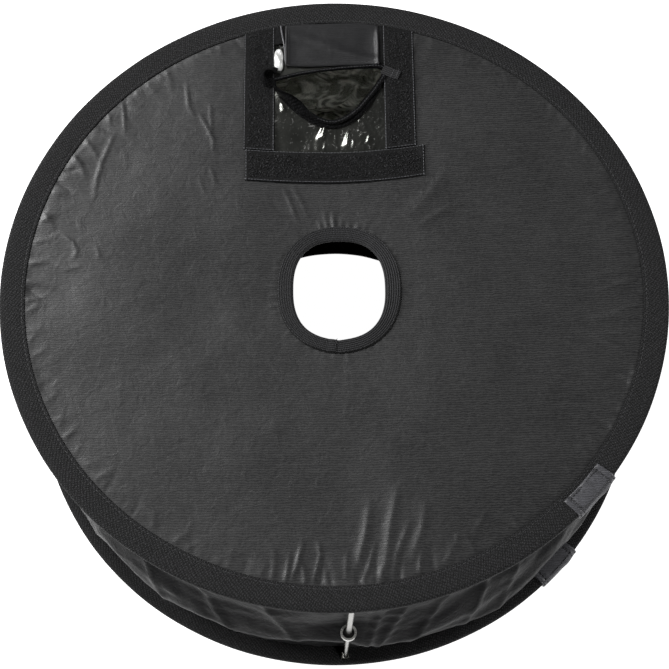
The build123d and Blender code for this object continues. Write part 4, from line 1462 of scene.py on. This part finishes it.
def smooth_line(points, steps):
    """An open smooth line through points."""
    points = np.asarray(points, float)
    points = np.vstack([2 * points[0] - points[1], points, 2 * points[-1] - points[-2]])
    t = np.linspace(0, len(points) - 3 - 1e-9, steps)
    i = np.floor(t).astype(int) + 1
    f = (t - i + 1)[:, None]
    a, b, c, d = (points[i + k] for k in (-1, 0, 1, 2))
    return 0.5 * (2 * b + (c - a) * f + (2 * a - 5 * b + 4 * c - d) * f ** 2 + (3 * b - a - 3 * c + d) * f ** 3)


left_loop = smooth_line([
    on_tape(-40.5, 158.5, 1.2), on_tape(-44.5, 157.6, 1.6), on_tape(-48.2, 159.2, 2.0),
    on_tape(-49.4, 163.2, 2.2), on_tape(-47.4, 167.4, 2.2),
    on_tape(-43.2, 168.9, 1.8), on_tape(-39.2, 167.6, 1.0),
], 60)
turn = np.linspace(0, 1, 60)
left_tab = sweep(
    "mouth_tab_left_loop", ribbon(
        left_loop, 5.4 + 2.2 * np.sin(turn * np.pi), np.full(60, 1.6), 1.15 * np.sin(turn * np.pi)
    ), casing_tape, "back_frame", closed=False,
)
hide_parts("mouth_tab_left")
right_end = smooth_line(
    [
        on_tape(36.4, 168.6, 1.0), on_tape(40.0, 167.0, 0.9), on_tape(44.0, 165.2, 0.75),
        on_tape(48.4, 163.4, 0.7)
    ],
    30
)
right_tab = sweep(
    "mouth_tab_right_end", ribbon(
        right_end, np.full(30, 7.6), np.full(30, 1.2), np.full(30, 0.0)
    ), elastic, "back_frame", closed=False,
)
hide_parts("mouth_tab_right")
bars = []
for inward in (1.6, 4.6):
    middle = np.array(on_tape(48.2 - inward, 163.4 + inward * 0.42, 1.42))
    bars.append([middle + np.array((math.cos(1.15), math.sin(1.15), 0)) * d for d in np.linspace(-3.1, 3.1, 8)])
stitch(
    "mouth_tab_right_stitches", bars, "back_frame", spacing=1.5, length=1.25, thickness=0.42,
    thread=thread_grey
)


# ---------------------------------------------------------------------------------------
# Flap: doubled coated nylon, sewn to the rim along its upper edge. It lies over the top of
# the mouth, and lifts to let a large flash head in. Its side hems stand up a little.
flap_low, flap_high = (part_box("slot_flap")[i] / MM for i in (0, 1))
FLAP_THICK = 0.8
FLAP_SEAM = 204.7


def flap_top(x, y):
    """The flap's upper face: hemmed at three edges, with a soft fold across it."""
    side = np.minimum(x - flap_low.x, flap_high.x - x)
    hem = 0.75 * np.exp(-((side - 0.9) / 1.0) ** 2) + 0.25 * np.exp(-((y - flap_low.y - 1.0) / 1.2) ** 2)
    curl = 0.9 * np.exp(-side / 4.0) * np.clip((flap_high.y - y) / 12, 0, 1)
    fold = (
        0.55 * np.exp(-(((x * 0.42 + (y - 188)) / 4.5) ** 2))
        + 0.35 * np.exp(-(((x * 0.2 + (y - 181) - 3) / 3.2) ** 2))
    )
    loose = np.clip((flap_high.y - y) / 10, 0, 1)
    return (
        dished(np.hypot(x, y)) + 0.45 + FLAP_THICK + hem * loose + curl
        + loose * (fold + 0.3 * soft_noise(x, y, 14, 91))
    )


def flap_edge(x):
    return np.minimum(np.sqrt((TAPE_INNER + 0.2) ** 2 - x ** 2), flap_high.y + 2.5)


wide, high = np.linspace(flap_low.x, flap_high.x, 70), np.linspace(0, 1, 40)
rings = []
for x in wide:
    y = flap_low.y + 0.35 * math.sin(x * 0.11) + (flap_edge(x) - flap_low.y) * high
    z = flap_top(np.full(y.shape, x), y)
    over = np.column_stack([np.full(y.shape, x), y, z])
    under = np.column_stack([np.full(y.shape, x), y, z - FLAP_THICK])[::-1]
    rings.append(np.vstack([over, under]))
nylon_flap = coated_nylon("coated_nylon_flap", "#0d0d0e", "#202022", 0.42, 1.4, 0.12, 0.4)
flap = sweep("slot_flap_nylon", rings, nylon_flap, None, closed=False)
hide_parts("slot_flap")
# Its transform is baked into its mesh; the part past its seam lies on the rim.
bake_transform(flap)
hems = []
for x_seam in (flap_low.x + 2.6, flap_high.x - 2.6):
    ys = np.linspace(flap_low.y + 2.5, FLAP_SEAM - 3.0, 24)
    hems.append(seam_on(flap_top, x_seam, ys, 0.02))
hems.append(seam_on(flap_top, np.linspace(flap_low.x + 2.6, flap_high.x - 2.6, 40), flap_low.y + 2.6, 0.02))
stitch("slot_flap_stitches", hems, "flash_flap", spacing=2.4, length=1.8, thickness=0.35)


# ---------------------------------------------------------------------------------------
# Gussets: the silver cloth at both sides of the flap, folded up on itself. The left one
# bulges out past the flap and catches the light. Both are drawn in a near-white copy of the silver cloth, a painted
# highlight.
GUSSET_SHOWS = (169.5, 186.0)
# Painted highlight: a paler, less metallic copy of the silver cloth.
silver_lit_copy = one_texture(
    "metallised_nylon_fold", "#e9eae8", {"Metallic": 0.35, "Specular IOR Level": 0.6}, "ShaderNodeTexNoise",
    {"Scale": 0.3, "Detail": 4.0, "Distortion": 1.0}, ("#c9cac8", "#f4f4f2"), shine=(0.25, 0.45),
    relief=(0.5, 0.8),
    stretch=PER_METRE,
)

for side, node_name, bulge in (("left", "slot_gusset_left", 1.6), ("right", "slot_gusset_right", -1.1)):
    low, high = (corner_point / MM for corner_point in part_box(node_name))
    low.y, high.y = GUSSET_SHOWS
    rows, columns = 40, 26
    rings = []
    for v in np.linspace(0, 1, rows):
        y = low.y + (high.y - low.y) * v
        end = math.sin(math.pi * min(max(v, 0.02), 0.98)) ** 0.22
        waist = 1 - 0.07 * math.exp(-((v - 0.42) / 0.1) ** 2)
        half = (high.x - low.x) / 2 * end * waist
        middle = (low.x + high.x) / 2 - (bulge * 0.4 if side == "left" else 0)
        ring = []
        for a in np.linspace(0, 2 * np.pi, columns, endpoint=False):
            x = middle + half * math.copysign(abs(math.cos(a)) ** 0.8, math.cos(a))
            lift = (1.5 + bulge) * end * waist * max(0.0, math.sin(a)) ** 0.8
            crumple = (
                0.45 * float(ridge(np.float64(x * 0.9 + y * 0.55)))
                * max(0.0, math.sin(a)) if side == "left" else 0
            )
            ring.append(
                (x, y, float(dished(math.hypot(x, y))) + 0.25 + lift + crumple - 0.2 * (math.sin(a) < 0))
            )
        rings.append(ring)
    gusset = sweep(f"slot_gusset_{side}_fold", rings, silver_lit_copy, "back_frame", closed=False)
    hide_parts(node_name)


# ---------------------------------------------------------------------------------------
# Facings: two narrow strips of black nylon close the window beside the flap, over the tops
# of the gussets. The left one has a pale folded edge of silver cloth next to the flap, drawn in the scrap nylon
# whose paleness is painted sheen.
for side, x0, x1, y0 in (("left", -43.0, -32.6, 191.0), ("right", 32.0, 42.4, 173.5)):
    rings = []
    for x in np.linspace(x0, x1, 14):
        share = np.linspace(0, 1, 20)
        y = y0 + 0.5 * math.sin(x) + (np.sqrt((TAPE_INNER + 0.4) ** 2 - x ** 2) - y0) * share
        z = dished(np.hypot(x, y)) + 0.95 + 0.2 * soft_noise(np.full(y.shape, x), y, 8, 95)
        over, under = np.column_stack([np.full(y.shape, x), y, z]), np.column_stack(
            [np.full(y.shape, x), y, z - 0.5]
        )
        rings.append(np.vstack([over, under[::-1]]))
    facing = sweep(f"slot_facing_{side}", rings, loop_ground, "back_frame", closed=False)
pale_line = smooth_line(
    [
        (x, y, float(dished(math.hypot(x, y))) + 1.7)
        for x, y in ((-36.6, 205.5), (-35.4, 197.0), (-33.9, 188.0), (-33.4, 178.0), (-32.9, 174.5))
    ],
    40
)
# The edge takes the scrap nylon's paler tone, a painted sheen.
sweep(
    "slot_gusset_left_edge", ribbon(pale_line, np.full(40, 1.3), np.full(40, 1.2), np.full(40, 0.3), 8),
    nylon_scrap_sheen, "back_frame", closed=False
)


# ---------------------------------------------------------------------------------------
# Struts: two steel rods meet half way between the rims, the upper one on a magnet in a cup.
# Both turn on pins through folded steel saddles. All are nickel-plated.
plated_steel = one_texture(
    "nickel_plated_steel", "#c9c8c4", {"Metallic": 1.0}, "ShaderNodeTexNoise", {"Scale": 1.0, "Detail": 3.0},
    ("#5e5d59", "#8e8d89"), shine=(0.14, 0.34), relief=(0.15, 0.1), stretch=(1600, 1600, 90),
)
# Cups: zinc-plated pressings, a brighter and softer shine with faint spangle
zinc = one_texture(
    "zinc_plated_pressing", "#d9d8d4", {"Metallic": 0.55, "Specular IOR Level": 0.6}, "ShaderNodeTexVoronoi",
    {"Scale": 700.0}, ("#f0efea", "#c4c3bf"), shine=(0.22, 0.36),
)
# Neodymium magnet, nickel-plated and polished, with faint scuffs from the rod's tip
magnet_nickel = one_texture(
    "nickel_plated_magnet", "#b5b4b2", {"Metallic": 1.0}, "ShaderNodeTexNoise",
    {"Scale": 900.0, "Detail": 4.0, "Distortion": 2.0}, ("#9c9b99", "#c6c5c3"), shine=(0.08, 0.3),
)
for node_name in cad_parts:
    if node_name.startswith("magnet_cup"):
        finish_node(node_name, zinc)
    elif node_name.startswith(("upper_rod", "lower_rod")) or node_name.endswith("saddle_pins"):
        finish_node(node_name, plated_steel)
    elif node_name.startswith("magnet_"):
        finish_node(node_name, magnet_nickel)


# ---------------------------------------------------------------------------------------
# Floor and light: a plain white floor that glows evenly, so it reads white through the lens
# opening too, a dark surrounding under a paler ceiling, and large soft lamps round the drum.
FLOOR_REACH = 40.0
FLOOR_Z = -0.0005
floor_mesh = bpy.data.meshes.new("floor")
corners = ((-1, -1), (1, -1), (1, 1), (-1, 1))
floor_mesh.from_pydata([(FLOOR_REACH * x, FLOOR_REACH * y, FLOOR_Z) for x, y in corners], [], [(0, 1, 2, 3)])
floor = bpy.data.objects.new("floor", floor_mesh)
bpy.context.collection.objects.link(floor)
floor_paint, tree, shader = new_material(
    "floor_white", "#d0d0d0", {"Roughness": 0.9, "Emission Color": (1, 1, 1, 1), "Emission Strength": 1.0}
)
floor.data.materials.append(floor_paint)
floor.visible_diffuse = False

world = bpy.data.worlds.new("studio")
bpy.context.scene.world = world
world.use_nodes = True
tree = world.node_tree
place = add_node(tree, "ShaderNodeTexCoord")
split = add_node(tree, "ShaderNodeSeparateXYZ", {"Vector": place.outputs["Generated"]})
height = add_node(
    tree, "ShaderNodeMapRange",
    {"Value": split.outputs["Z"], "From Min": -0.3, "From Max": 0.9, "To Min": 0.05, "To Max": 0.16}
)
wire(tree, tree.nodes["Background"], {"Strength": height})
for name, azimuth, elevation, distance, size, watts in (
    ("lamp_left", 168, 30, 1.5, 0.8, 28.0),
    ("lamp_back", 130, 47, 1.7, 0.5, 15.0),
    ("lamp_right", 12, 26, 1.6, 0.5, 8.0),
    ("lamp_front", -62, 24, 1.7, 0.5, 12.0),
):
    lamp = bpy.data.objects.new(name, bpy.data.lights.new(name, "AREA"))
    lamp.data.shape = "DISK"
    lamp.data.size = size
    lamp.data.energy = watts
    a, e = math.radians(azimuth), math.radians(elevation)
    spot = Vector(
        (
            distance * math.cos(a) * math.cos(e), distance * math.sin(a) * math.cos(e),
            distance * math.sin(e) + 0.1
        )
    )
    lamp.location = spot
    lamp.rotation_mode = "QUATERNION"
    lamp.rotation_quaternion = (spot - Vector((0, 0, 0.12))).to_track_quat("Z", "Y")
    bpy.context.collection.objects.link(lamp)
bpy.context.scene.view_settings.view_transform = "Standard"
